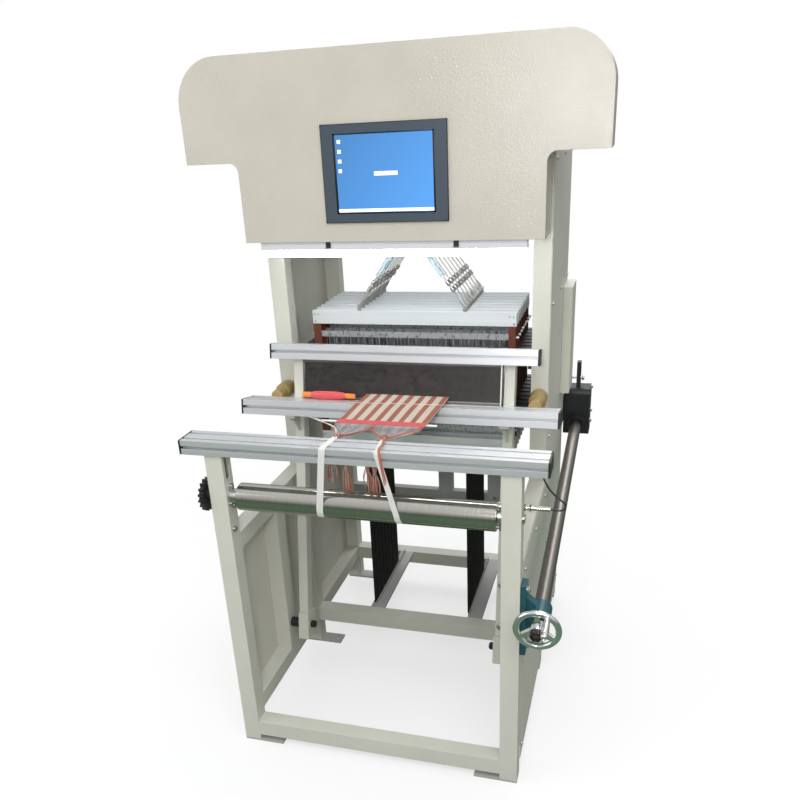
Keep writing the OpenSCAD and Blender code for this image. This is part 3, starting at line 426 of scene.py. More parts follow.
def drawn_metal(name, colour, roughness, grain, strength=0.12, edge=0.0008, contrast=1.0, metallic=1.0):
    """Metal with fine lines along one direction: grain holds the stretch of the pattern."""
    finish = start_finish(name, colour, roughness, metallic)
    lines = speckle(finish, object_space(finish, grain), 1, 3, 0.6)
    tinted(finish, lines, colour, ((0.25, 1 - 0.14 * contrast), (0.5, 1), (0.75, 1 + 0.06 * contrast)))
    roughened(finish, lines, roughness - 0.08 * contrast, roughness + 0.1 * contrast)
    rough_surface(finish, lines, strength, 0.0004, edge)


def cast_metal(name, colour, roughness):
    """Cast iron under thin oil, grainy."""
    finish = start_finish(name, colour, roughness, 0.3)
    grain = speckle(finish, object_space(finish), 420, 4, 0.7)
    tinted(finish, grain, colour, ((0.3, 0.7), (0.6, 1), (0.85, 1.35)))
    roughened(finish, grain, roughness - 0.1, roughness + 0.12)
    rough_surface(finish, grain, 0.4, 0.0006, 0.0012)


def plain_plastic(name, colour, roughness, grain=900, strength=0.1):
    """Moulded plastic with a faint grain."""
    finish = start_finish(name, colour, roughness)
    skin = speckle(finish, object_space(finish), grain, 2)
    tinted(finish, skin, colour, ((0.3, 0.92), (0.7, 1.06)))
    rough_surface(finish, skin, strength, 0.0003, 0.0006)


def woven(name, colour, ribs, roughness, depth, direction="X", sheen=0.25, specular=0.5):
    """Yarn, tape or webbing with fine ribs on the object's own coordinates."""
    finish = start_finish(name, colour, roughness, Sheen_Weight=sheen, Specular_IOR_Level=specular)
    space = object_space(finish)
    wave = add(finish, "TexWave", bands_direction=direction, Scale=ribs, Distortion=1.2, Detail=2.0)
    wire(finish, space, wave.inputs["Vector"])
    tinted(finish, speckle(finish, space, 1400, 3), colour, ((0.2, 0.78), (0.55, 1), (0.9, 1.12)))
    rough_surface(finish, wave.outputs["Fac"], 0.6, depth)


def striped_cloth(name, dark, pale, stripes):
    """Warp stripes from the cloth's own UV map, with a fine plain weave."""
    dark_share, yarns_each, picks, dirt = 0.46, 26, 190, (0.45, 0.42, 0.4)
    finish = start_finish(name, pale, 0.85, Sheen_Weight=0.1)
    across = add(finish, "UVMap", uv_map="Cloth").outputs["UV"]
    # Half a stripe less, so that both edges of the cloth are dark
    phase = maths(finish, "FRACT", maths(finish, "MULTIPLY", axes_of(finish, across)["X"], stripes - 0.5))
    threads = add(finish, "Mapping", Scale=(stripes * yarns_each, picks, 1))
    wire(finish, across, threads.inputs["Vector"])
    weave = add(finish, "TexChecker", Scale=1.0)
    wire(finish, threads.outputs["Vector"], weave.inputs["Vector"])
    fuzz = speckle(finish, threads.outputs["Vector"], 0.6, 3)
    mix = add(finish, "Mix", data_type="RGBA", blend_type="MULTIPLY", Factor=0.35)
    wire(finish, ramp(finish, phase, [(0.0, dark), (dark_share, pale)], "CONSTANT"), mix.inputs["A"])
    wire(finish, ramp(finish, fuzz, [(0.25, dirt), (0.7, (1, 1, 1))]), mix.inputs["B"])
    wire(finish, mix.outputs["Result"], shader_of(finish).inputs["Base Color"])
    rough_surface(finish, weave.outputs["Fac"], 0.5, 0.0004)


def glowing(name, colour, strength):
    start_finish(name, colour, 0.4, Emission_Color=(*colour, 1), Emission_Strength=strength)


def screen_picture(name, dark, light):
    """Lit display: a plain blue field that grows lighter towards its lower right corner."""
    fall, middle_z = 0.8, SCREEN_Z * MM
    finish = start_finish(name, (0.02, 0.03, 0.05), 0.12, Emission_Strength=1.0)
    place = axes_of(finish, add(finish, "TexCoord").outputs["Object"])
    both = add(finish, "Math", operation="ADD")
    wire(finish, maths(finish, "MULTIPLY_ADD", place["Z"], -fall, middle_z * fall), both.inputs[0])
    wire(finish, place["X"], both.inputs[1])
    fade = scaled(finish, both.outputs[0], 0.0, 1.0, -0.2, 0.2)
    wire(finish, ramp(finish, fade, [(0.0, dark), (1.0, light)]), shader_of(finish).inputs["Emission Color"])


# Colour, roughness, stretch of the grain, bump, edge radius, contrast of the grain, metallic
METALS = {
    "extruded aluminium": ((0.74, 0.75, 0.77), 0.36, (1, 500, 500), 0.05, 0.0012, 0.35, 0.62),
    "slat aluminium": ((0.84, 0.87, 0.89), 0.42, (2, 500, 500), 0.06, 0.0015, 0.5, 0.5),
    "turned aluminium": ((0.72, 0.73, 0.75), 0.32, (200, 200, 900)),
    "rolled chrome": ((0.57, 0.55, 0.50), 0.14, (260, 14, 14), 0.03, 0.0008, 0.9),
    "polished chrome": ((0.88, 0.89, 0.90), 0.10, (90, 90, 90), 0.03),
    "shaft steel": ((0.24, 0.225, 0.205), 0.38, (300, 4, 300), 0.06, 0.0008, 0.8),
    "bolt steel": ((0.62, 0.62, 0.61), 0.28, (300, 300, 300)),
    "heddle wire": ((0.44, 0.45, 0.48), 0.38, (420, 60, 30), 0.12, 0.0, 4.5),
    "heddle bar": ((0.50, 0.51, 0.53), 0.34, (90, 60, 60), 0.06, 0.0008, 2.0, 0.5),
    "reed wire": ((0.165, 0.155, 0.15), 0.46, (45, 900, 9), 0.08, 0.0, 2.0),
    "cable wire": ((0.52, 0.51, 0.49), 0.34, (1600, 1600, 500), 0.5),
    "nickelled brass": ((0.74, 0.70, 0.60), 0.26, (900, 100, 100)),
}
# Colour, roughness, grain, bump
PLASTICS = {
    "cap plastic": ((0.018, 0.018, 0.02), 0.45),
    "cable sheath": ((0.012, 0.012, 0.013), 0.4),
    "bezel plastic": ((0.060, 0.080, 0.105), 0.42),
    "bezel rim": ((0.012, 0.014, 0.018), 0.35),
    "lamp plastic": ((0.70, 0.70, 0.74), 0.3),
    "white rod": ((0.85, 0.84, 0.80), 0.4),
    "blue sleeve": ((0.55, 0.72, 0.80), 0.45),
    "resin post": ((0.135, 0.035, 0.018), 0.45, 300, 0.3),
    "cast urethane": ((0.36, 0.26, 0.10), 0.32, 200, 0.1),
}
# Colour, ribs, roughness, depth of the ribs, their direction, sheen, specular level
YARNS = {
    "band webbing": ((0.006, 0.006, 0.0065), 900, 0.8, 0.0008, "Z", 0.02, 0.25),
    "cotton tape": ((0.80, 0.79, 0.75), 900, 0.9, 0.0004, "Z"),
    "orange yarn": ((0.93, 0.10, 0.11), 420, 0.7, 0.0010),
    "orange cap": ((0.95, 0.26, 0.03), 420, 0.6, 0.0003),
    "red yarn": ((0.70, 0.10, 0.11), 900, 0.8, 0.0005),
    "terracotta yarn": ((0.52, 0.16, 0.09), 900, 0.8, 0.0005),
    "straw yarn": ((0.62, 0.57, 0.48), 900, 0.8, 0.0005),
    "grey yarn": ((0.36, 0.37, 0.42), 900, 0.8, 0.0005),
    "white yarn": ((0.84, 0.83, 0.80), 900, 0.8, 0.0005),
}
WORN_BY = {
    "hammered cream": "hood_shell tower_cover",
    "frame cream": "front_legs front_columns rear_columns pivot_posts side_rails cross_rails side_sheets "
    "tower_sheets cable_cover sword_left sword_right",
    "grey enamel": "rear_stand foot_plates spring_rails lift_carrier",
    "teal enamel": "shaft_bracket",
    "extruded aluminium": "breast_beam race_beam reed_cap",
    "turned aluminium": "lift_cylinders",
    "bolt steel": "frame_bolts roller_bearings warp_beam_blocks",
    "rolled chrome": "cloth_roller back_rest warp_beam",
    "polished chrome": "hand_wheel wheel_grip",
    "shaft steel": "side_shaft",
    "oiled iron": "roller_sprocket gear_housing pivot_pins",
    "browned iron": "wheel_nut",
    "nickelled brass": "proximity_sensor",
    "cap plastic": "breast_beam_caps batten_caps heald_guides lamp_clips",
    "bezel plastic": "monitor_bezel",
    "screen": "monitor_screen",
    "lamp plastic": "lamp_housing",
    "lit diffuser": "lamp_diffuser",
    "cast urethane": "buffers",
    "white rod": "tie_rod",
}


class LoomFinishes(PropertyGroup):
    cream: FloatVectorProperty(
        name="Cream paint",
        description="Colour of the hammered paint",
        subtype="COLOR",
        default=(0.60, 0.565, 0.485),
    )
    frame_cream: FloatVectorProperty(
        name="Frame paint",
        description="Colour of the frame tubes",
        subtype="COLOR",
        default=(0.63, 0.625, 0.55),
    )
    grey: FloatVectorProperty(
        name="Grey paint",
        description="Colour of the rails behind",
        subtype="COLOR",
        default=(0.42, 0.43, 0.41),
    )
    terracotta: FloatVectorProperty(
        name="Dark stripe",
        description="Colour of the cloth's dark stripes",
        subtype="COLOR",
        default=(0.36, 0.102, 0.056),
    )
    straw: FloatVectorProperty(
        name="Pale stripe",
        description="Colour of the cloth's pale stripes",
        subtype="COLOR",
        default=(0.61, 0.545, 0.45),
    )
    screen: FloatVectorProperty(
        name="Screen",
        description="Lightest colour of the display",
        subtype="COLOR",
        default=(0.11, 0.40, 0.95),
    )


class LoomWarp(PropertyGroup):
    stripes: IntProperty(
        name="Stripes", description="Dark stripes across the cloth", default=8, min=2, max=20
    )
    yarns: IntProperty(
        name="Yarns for each frame", description="Warp yarns drawn in each heald", default=15, min=4, max=40
    )
    heddles: IntProperty(
        name="Heddles", description="Heddles hung in each heald frame", default=96, min=20, max=160
    )
    dents: IntProperty(
        name="Reed wires", description="Wires of the reed", default=560, min=100, max=900
    )


class LoomLight(PropertyGroup):
    key: FloatProperty(
        name="Key light", description="Power of the large lamp", default=52.0, unit="POWER"
    )
    lamp: FloatProperty(
        name="Loom's lamp", description="Strength of the lamp under the hood", default=14.0
    )
    world: FloatProperty(
        name="Room light", description="Strength of the room's light", default=0.75
    )


class LOOM_OT_stage(Operator):
    """Floor, lamps and the camera at the photograph's place"""

    bl_idname = "loom.stage"
    bl_label = "Stage and camera"

    def execute(self, context):
        scene = context.scene
        scene.view_settings.view_transform = "Standard"
        self.camera(scene)
        self.floor()
        self.room(scene)
        self.lamps(scene.loom_light.key)
        return {"FINISHED"}

    def camera(self, scene):
        focal_px, middle_px, middle_py, image_px = 832.728, 382.416, 488.969, 800
        heading, tilt, roll = 0.3104, 1.1453, -0.0578
        data = bpy.data.cameras.new("Camera")
        data.sensor_width = 36
        data.lens = focal_px / image_px * 36
        data.shift_x = (image_px / 2 - middle_px) / image_px
        data.shift_y = (middle_py - image_px / 2) / image_px
        turn = Matrix.Rotation(heading, 4, "Z") @ Matrix.Rotation(tilt, 4, "X") @ Matrix.Rotation(roll, 4, "Z")
        scene.camera = linked("Camera", data)
        scene.camera.matrix_world = Matrix.Translation(at(661.536, -1838.716, 1778.427)) @ turn

    def floor(self):
        """White paper with a faint shadow to the camera, green in reflections, pale grey to the light."""
        bpy.ops.mesh.primitive_plane_add(size=40, location=(0, 0, 0))
        floor = bpy.context.object
        floor.name = "floor"
        pale, green = (0.36, 0.365, 0.34), (0.075, 0.14, 0.08)
        finish = start_finish("workshop floor", pale, 0.6)
        reach = add(finish, "VectorMath", operation="LENGTH")
        wire(finish, add(finish, "TexCoord").outputs["Object"], reach.inputs[0])
        paper = add(finish, "MixShader")
        wire(finish, scaled(finish, reach.outputs["Value"], 0.62, 1.0, 0.7, 2.2), paper.inputs["Fac"])
        wire(finish, add(finish, "BsdfDiffuse", Color=(0.9, 0.9, 0.9, 1)).outputs[0], paper.inputs[1])
        wire(finish, add(finish, "Emission", Strength=1.0).outputs[0], paper.inputs[2])
        tone = add(finish, "Mix", data_type="RGBA", A=(*pale, 1), B=(*green, 1))
        wire(finish, add(finish, "LightPath").outputs["Is Glossy Ray"], tone.inputs["Factor"])
        wire(finish, tone.outputs["Result"], shader_of(finish).inputs["Base Color"])
        camera_sees(finish, paper, shader_of(finish), "Material Output")
        wear(floor, "workshop floor")

    def room(self, scene):
        """Walls that grow lighter with height, and white paper behind the loom."""
        world = bpy.data.worlds.new("Room")
        scene.world = world
        world.use_nodes = True
        walls = world.node_tree.nodes["Background"]
        walls.inputs["Strength"].default_value = scene.loom_light.world
        levels = [(0.0, 0.30), (0.12, 0.50), (0.4, 0.85), (1.0, 1.15)]
        stops = [(height, (level * 0.96, level * 0.98, level)) for height, level in levels]
        height = axes_of(world, add(world, "TexCoord").outputs["Generated"])["Z"]
        wire(world, ramp(world, height, stops), walls.inputs["Color"])
        camera_sees(world, add(world, "Background", Color=(1, 1, 1, 1)), walls, "World Output")

    def lamps(self, key):
        aim = Vector((0, 0, 0.9))
        for name, place, size, power in (
            ("key", (1.2, -2.6, 3.6), 2.2, key),
            ("fill", (-2.8, -2.0, 2.0), 2.4, key * 0.5),
            ("rear", (0.5, 2.6, 3.2), 2.2, key),
            ("flash", (0.40, -2.4, 1.80), 0.14, key * 0.22),
        ):
            data = bpy.data.lights.new(name, "AREA")
            data.size = size
            data.energy = power
            lamp = linked(name, data)
            lamp.location = place
            lamp.rotation_euler = (aim - Vector(place)).to_track_quat("-Z", "Y").to_euler()


class LOOM_OT_sensor_cable(Operator):
    """Black cable that hangs from under the breast beam to the proximity sensor"""

    bl_idname = "loom.sensor_cable"
    bl_label = "Sensor cable"

    def execute(self, context):
        places = through((
            (466, 55, 966), (466, 54, 958), (468, 53, 948), (472, 52, 936), (478, 51, 924), (486, 50, 912),
            (495, 49, 902), (505, 48, 893), (515, 46, 886), (523, 45, 879), (527, 43, 871), (523, 41, 864),
            (514, 40, 861), (503, 40, 861), (491.4, 40, 862),
        ))
        diameter = 0.0045
        lead = smooth_curve("sensor_lead", [places], diameter / 2, 4, 6)
        fit(lead, "frame", "cable sheath")
        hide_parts("sensor_cable")
        return {"FINISHED"}


class LOOM_OT_finishes(Operator):
    """Paints, metals, plastics and yarns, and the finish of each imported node"""

    bl_idname = "loom.finishes"
    bl_label = "Finishes"

    def execute(self, context):
        scene = context.scene
        colours = scene.loom_finishes
        screen = tuple(colours.screen)
        enamel("hammered cream", tuple(colours.cream), 0.38, 300, 0.0014, coat=0.8)
        enamel("frame cream", tuple(colours.frame_cream), 0.42, 700, 0.0004)
        enamel("grey enamel", tuple(colours.grey), 0.45, 700, 0.0004)
        enamel("teal enamel", (0.012, 0.085, 0.105), 0.32, 500, 0.0006)
        for name, values in METALS.items():
            drawn_metal(name, *values)
        cast_metal("oiled iron", (0.028, 0.028, 0.032), 0.42)
        cast_metal("browned iron", (0.035, 0.022, 0.018), 0.5)
        for name, values in PLASTICS.items():
            plain_plastic(name, *values)
        for name, values in YARNS.items():
            woven(name, *values)
        striped_cloth("striped cloth", tuple(colours.terracotta), tuple(colours.straw), scene.loom_warp.stripes)
        glowing("lit diffuser", (0.98, 1.0, 1.0), scene.loom_light.lamp)
        glowing("screen bar", (0.80, 0.88, 0.95), 0.9)
        screen_picture("screen", shade(screen, 0.62), screen)
        for finish, names in WORN_BY.items():
            for name in names.split():
                wear(NODES[name], finish)
        self.dress_healds()
        return {"FINISHED"}

    def dress_healds(self):
        """Aluminium slats, resin posts, steel bars and cables, chosen by where each face lies."""
        post_x, slat_low, slat_high, cable_foot, cable_top = 0.297, 0.8152, 1.1758, 1.2185, 1.44
        finishes = ("slat aluminium", "resin post", "heddle bar", "cable wire", "turned aluminium")
        post, heddle_bar, cable, rod = range(1, 5)
        for i in range(1, 9):
            mesh = NODES[f"heald_frame_{i}"].data
            mesh.materials.clear()
            for finish in finishes:
                mesh.materials.append(bpy.data.materials[finish])
            for face in mesh.polygons:
                place = face.center
                if place.z > cable_top:
                    face.material_index = rod
                elif place.z > cable_foot:
                    face.material_index = cable
                elif slat_low < place.z < slat_high:
                    face.material_index = post if abs(place.x) > post_x else heddle_bar


class LOOM_OT_healds(Operator):
    """Heddles, end bolts and cable hooks that each heald frame carries"""

    bl_idname = "loom.healds"
    bl_label = "Healds"

    def execute(self, context):
        count = context.scene.loom_warp.heddles
        heddles, bolts, hooks = self.heddles(count), self.bolts(), self.hooks()
        for i, body in enumerate(HEALDS):
            shift = (0, i * HEALD_PITCH * MM, 0)
            wires = copy_of(heddles, f"heddles_{i + 1}", shift)
            self.spread(wires, count, i)
            fit(wires, body, "heddle wire")
            fit(copy_of(bolts, f"heald_bolts_{i + 1}", shift), body, "bolt steel")
            fit(copy_of(hooks, f"cable_hooks_{i + 1}", shift), body, "cable wire")
        for piece in (heddles, bolts, hooks):
            bpy.data.objects.remove(piece)
        return {"FINISHED"}

    def heddles(self, count):
        """One heddle: a flat wire with an eye at the warp's height, repeated across the frame."""
        pitch = HEDDLE_SPAN / count
        x, y = (pitch - HEDDLE_SPAN) / 2, at(0, HEALD_Y, 0).y
        low, high, eye, half_eye, half_thick = 0.834, 1.158, WARP_Z * MM, 0.009, 0.0005
        limbs = (
            (-0.0012, 0.0012, low, eye - half_eye),
            (-0.0012, 0.0012, eye + half_eye, high),
            (-0.0030, -0.0018, eye - half_eye, eye + half_eye),
            (0.0018, 0.0030, eye - half_eye, eye + half_eye),
        )
        parts = [
            block("heddle", (x - half_thick, y + near, foot), (x + half_thick, y + far, top))
            for near, far, foot, top in limbs
        ]
        return in_a_row(joined("heddle", parts), count, pitch)

    def spread(self, wires, count, number):
        """Heddles hang loosely, so each one stands a little to one side."""
        draw = random.Random(40 + number)
        pitch = HEDDLE_SPAN / count
        shifts = [draw.uniform(-0.45, 0.45) * pitch for _ in range(count)]
        for vertex in wires.data.vertices:
            place = int((vertex.co.x + HEDDLE_SPAN / 2) / pitch)
            vertex.co.x += shifts[max(0, min(count - 1, place))]

    def bolts(self):
        """Bolts on the face of the first frame's posts, and the ends of its heddle bars."""
        face = HEALD_Y - 6
        parts = []
        for side in (-1, 1):
            for x, z in ((314, 1206), (314, 1184), (302, 1206), (314, 803), (314, 785)):
                seat = at(side * x, face, z)
                parts.append(hex_bolt("heald bolt", seat, (0, -1, 0), 0.006, washer=False, socket=True))
            for z in (1142, 849):
                start, end = at(side * 320, HEALD_Y, z), at(side * 329, HEALD_Y, z)
                parts.append(bar("bar end", start, end, 0.005, 12, 0.001))
        return joined("heald bolts", parts)

    def hooks(self):
        """Plates, pins and crimps at the foot of each of the first frame's lift cables."""
        parts = []
        for side in (-1, 1):
            x, y = side * CABLE_FOOT_X, HEALD_Y
            for near, far in ((-4.5, -2.8), (2.8, 4.5)):
                parts.append(block("plate", at(x - 5, y + near, 1218), at(x + 5, y + far, 1238), 0.0006))
            for z in (1226, 1235):
                parts.append(bar("pin", at(x, y - 6.5, z), at(x, y + 6.5, z), 0.0022, 10, 0.0004))
            foot, top = lift_cable(side)
            half_crimp = (top - foot).normalized() * 0.008
            for share in (0.24, 0.33):
                middle = foot.lerp(top, share)
                parts.append(bar("crimp", middle - half_crimp, middle + half_crimp, 0.0058, 14, 0.001))
        return joined("cable hooks", parts)


class LOOM_OT_cable_sleeves(Operator):
    """Pale blue sleeves over the upper part of the first frames' lift cables"""

    bl_idname = "loom.cable_sleeves"
    bl_label = "Cable sleeves"

    def execute(self, context):
        for number, side, low, high in ((1, -1, 0.42, 0.93), (2, -1, 0.50, 0.93), (1, 1, 0.42, 0.93)):
            foot, top = lift_cable(side, number - 1)
            name = f"cable_sleeve_{number}_{'left' if side < 0 else 'right'}"
            sleeve = bar(name, foot.lerp(top, low), foot.lerp(top, high), 0.0064, 16, 0.001)
            fit(sleeve, HEALDS[number - 1], "blue sleeve")
        return {"FINISHED"}


class LOOM_OT_bands(Operator):
    """Braided elastic bands between the healds and the notched rails"""

    bl_idname = "loom.bands"
    bl_label = "Elastic bands"

    def execute(self, context):
        low, high, rows, half_width, waist = 162.3, 772.7, 24, 0.0172, 0.10
        shares = [row / rows for row in range(rows + 1)]
        across = [Vector((0, half_width * (1 - waist * math.sin(math.pi * share)), 0)) for share in shares]
        for i, body in enumerate(HEALDS):
            y = heald_y(i)
            strips = []
            for x in (-172, 168):
                line = [at(x, y, low + (high - low) * share) for share in shares]
                strips.append(ribbon("band", line, across, 0.0034))
            band = wear(joined(f"elastic_band_{i + 1}", strips), "band webbing")
            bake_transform(band)
            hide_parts("elastic_bands")
        return {"FINISHED"}


class LOOM_OT_reed(Operator):
    """Fine reed wires between their baulks, with the pale strip at the right end"""

    bl_idname = "loom.reed"
    bl_label = "Reed"

    def execute(self, context):
        count = context.scene.loom_warp.dents
        low, high, half, baulk, end = 759.3, 877.7, 300, 9, 308
        pitch = 2 * half / count
        bpy.ops.mesh.primitive_cube_add(size=1, scale=(0.00042, 0.005, (high - low - 16) * MM))
        wires = in_a_row(settle(bpy.context.object), count, pitch * MM)
        onto_batten(wires, -half + pitch / 2, -25, (low + high) / 2)
        outlines = (
            (-end, low, end, low + baulk),
            (-end, high - baulk, end, high),
            (-end, low, -half - 0.5, high),
            (half + 4.5, low, end, high),
        )
        baulks = [
            block("baulk", Vector((left, -27.8, foot)) * MM, Vector((right, -22.2, top)) * MM, 0.001)
            for left, foot, right, top in outlines
        ]
        reed = joined("reed_wires", [wires, onto_batten(joined("baulks", baulks))])
        fit(reed, "batten", "reed wire")
        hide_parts("reed")
        corners = [Vector((half + 0.6, -28.8, low + 1)) * MM, Vector((half + 4.2, -21.8, high - 1)) * MM]
        strip = onto_batten(block("reed_end_strip", *corners, 0.0006))
        fit(strip, "batten", "white rod")
        return {"FINISHED"}


class LOOM_OT_cloth(Operator):
    """Striped cloth on the race, its weft band, and the warp drawn in to two knots"""

    bl_idname = "loom.cloth"
    bl_label = "Cloth and knots"

    def execute(self, context):
        cloth = self.cloth()
        extras = [self.weft_band(), *self.warp_ends(), *self.knots(), *self.tails(), *self.strings()]
        for piece in (*extras, cloth):
            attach(piece, "frame")
        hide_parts("warp_sheet")
        return {"FINISHED"}

    def edges(self, share):
        """Left and right edge of the cloth, from the fell at 0 to the reed at 1, in millimetres."""
        left = FELL_LEFT + 8 * share + 1.2 * math.sin(share * 9)
        right = FELL_RIGHT + 12.5 * min(1, share * 1.5) + 1.0 * math.sin(share * 7 + 1)
        return left, right

    def cloth(self):
        """The cloth from the fell to the reed, faintly rippled."""
        across, along = 96, 40
        fell_y, reed_y, z = 184, 478, 1004.8
        rows = []
        for j in range(along + 1):
            share = j / along
            left, right = self.edges(share)
            y = fell_y + (reed_y - fell_y) * share
            row = []
            for i in range(across + 1):
                t = i / across
                ripple = 0.5 * math.sin(t * 37) * (1 - share) + 0.25 * math.sin(t * 83 + share * 5)
                row.append(at(left + (right - left) * t, y, z + ripple))
            rows.append(row)
        return wear(thin_sheet("striped_cloth", rows, 0.0008, 50, "Cloth"), "striped cloth")

    def weft_band(self):
        """Red picks that close the front of the cloth."""
        picks, pitch, steps = 18, 1.8, 12
        draw = random.Random(5)
        routes = []
        for k in range(picks):
            y = 185 + k * pitch
            left, right = FELL_LEFT - draw.uniform(0, 2), FELL_RIGHT + draw.uniform(0, 2)
            places = [left + (right - left) * step / steps for step in range(steps + 1)]
            routes.append([at(x, y + draw.uniform(-0.4, 0.4), 1005.5) for x in places])
        return strands("weft_band", routes, 0.0008, "red yarn", 1, 2)

    def warp_ends(self):
        """Warp ends from the weft band to the knots, in three yarns, and the thick ones at the edges."""
        ends, parting = 236, 0.455
        routes = {"terracotta yarn": [], "straw yarn": [], "grey yarn": []}
        draw = random.Random(11)
        for i in range(ends):
            t = (i + 0.5) / ends
            x = WARP_LEFT + 246 * t
            knot_x, knot_y = (-77, 84) if t < parting else (58, 76)
            knot_x += draw.uniform(-4, 4)
            line = [at(x, 187, 1004.9)]
            for y, share in ((150, 0.05), (122, 0.35), (98, 0.64)):
                sway = draw.uniform(-1.2, 1.2)
                line.append(at(x + (knot_x - x) * share + sway, y, 1005 + draw.uniform(-1.5, 1.5)))
            line.append(at(knot_x, knot_y, 1006 + draw.uniform(-2, 2)))
            if abs(t - parting) < 0.025 or t > 0.985 or i % 29 == 0:
                kind = "terracotta yarn"
            elif (t * 8) % 1 < 0.5 or i % 3 == 0:
                kind = "grey yarn"
            else:
                kind = "straw yarn"
            routes[kind].append(line)
        edge_routes = (
            ((-110, 186, 1005.5), (-100, 140, 1006), (-80, 88, 1008)),
            ((136, 190, 1005.5), (104, 130, 1007), (62, 80, 1009)),
            ((138, 196, 1005.5), (108, 138, 1008), (64, 82, 1010)),
            ((-80, 86, 1008), (-51, 97, 1008), (-26, 122, 1007), (2, 141, 1006)),
            ((2, 141, 1006), (30, 114, 1007), (56, 80, 1008)),
        )
        edge_lines = [through(route) for route in edge_routes]
        pieces = [strands(f"warp_ends_{kind.split()[0]}", routes[kind], 0.00055, kind, 1, 3) for kind in routes]
        pieces.append(strands("edge_ends", edge_lines, 0.0013, "terracotta yarn", 2, 5))
        return pieces

    def knots(self):
        """Two knots of looped yarn, a few of their loops doubled in pale yarn."""
        loops_each, steps, pale_loops = 9, 8, 3
        beside = Vector((0.002, 0.001, 0.001))
        pieces = []
        draw = random.Random(23)
        for name, x in (("left_knot", LEFT_KNOT), ("right_knot", RIGHT_KNOT)):
            loops = []
            for _ in range(loops_each):
                centre = Vector((
                    x + draw.uniform(-4, 4), KNOT_Y + draw.uniform(-3, 4), 1007.5 + draw.uniform(-2, 3),
                ))
                wide, tall = draw.uniform(6, 11), draw.uniform(4, 7)
                lean = draw.uniform(0, math.pi)
                line = []
                for step in range(steps + 1):
                    turn = step / steps * 2 * math.pi + draw.uniform(-0.2, 0.2)
                    side, rise = wide * math.cos(turn), tall * math.sin(turn)
                    x_step, y_step = side * math.cos(lean), side * math.sin(lean) * 0.7
                    line.append(at(centre.x + x_step, centre.y + y_step, centre.z + rise))
                loops.append(line)
            pale = [[place + beside for place in line] for line in loops[:pale_loops]]
            pieces.append(strands(name, loops, 0.0013, "terracotta yarn", 2, 4))
            pieces.append(strands(name + "_pale", pale, 0.0011, "straw yarn", 2, 4))
        return pieces

    def tails(self):
        """Cut ends that hang from the knots behind the breast beam, and along the right tape."""
        tufts = ((-90, 76, 70), (-53, 78, 112), (8, 78, 98), (27, 76, 110))
        pieces = []
        draw = random.Random(31)
        for kind, ends in (("terracotta yarn", 9), ("straw yarn", 4)):
            lines = []
            for x, y, drop in tufts:
                knot_x = LEFT_KNOT if x < 0 else RIGHT_KNOT
                for _ in range(ends):
                    side, sway = draw.uniform(-6, 6), draw.uniform(-10, 12)
                    fall = drop * draw.uniform(0.75, 1.1)
                    lines.append(through((
                        (knot_x + side * 0.4, KNOT_Y, 1006),
                        ((knot_x + x) / 2 + side * 0.6, KNOT_Y, 1000),
                        (x + side, y + 5, 985),
                        (x + side - sway * 0.5, y + 4, 962 - fall * 0.3),
                        (x + side + sway * 0.9, y + 3, 955 - fall * 0.65),
                        (x + side + sway, y + 3 + draw.uniform(-3, 3), 948 - fall),
                    )))
            pieces.append(strands(f"yarn_tails_{kind.split()[0]}", lines, 0.0011, kind, 1, 4))
        lines = []
        for _ in range(5):
            side = draw.uniform(-3, 3)
            lines.append(through((
                (58 + side, 82, 1009), (66 + side, 40, 1008.8), (69 + side, -4, 1008.6),
                (72 + side, -11.6, 1000), (78 + side, -12.5, 960), (84 + side, -13.6, 925 + draw.uniform(-8, 8)),
            )))
        pieces.append(strands("yarn_on_tape", lines, 0.0010, "terracotta yarn", 1, 5))
        return pieces

    def strings(self):
        """White strings at the left, and a thread laid over the race."""
        loose = [
            through(((-198, 211, 1010), (-150, 180, 1009), (-102, 146, 1009), (-80, 92, 1008))),
            through(((-178, 204, 1010), (-136, 172, 1009), (-92, 132, 1009), (-76, 94, 1009))),
        ]
        laid = through(((-129, 354, 1006.4), (0, 362, 1006.6), (150, 370, 1006), (311, 377, 1004.6)))
        return [
            strands("white_strings", loose, 0.0012, "white yarn", 2, 4),
            strands("race_thread", [laid], 0.0008, "white yarn", 1, 4),
        ]


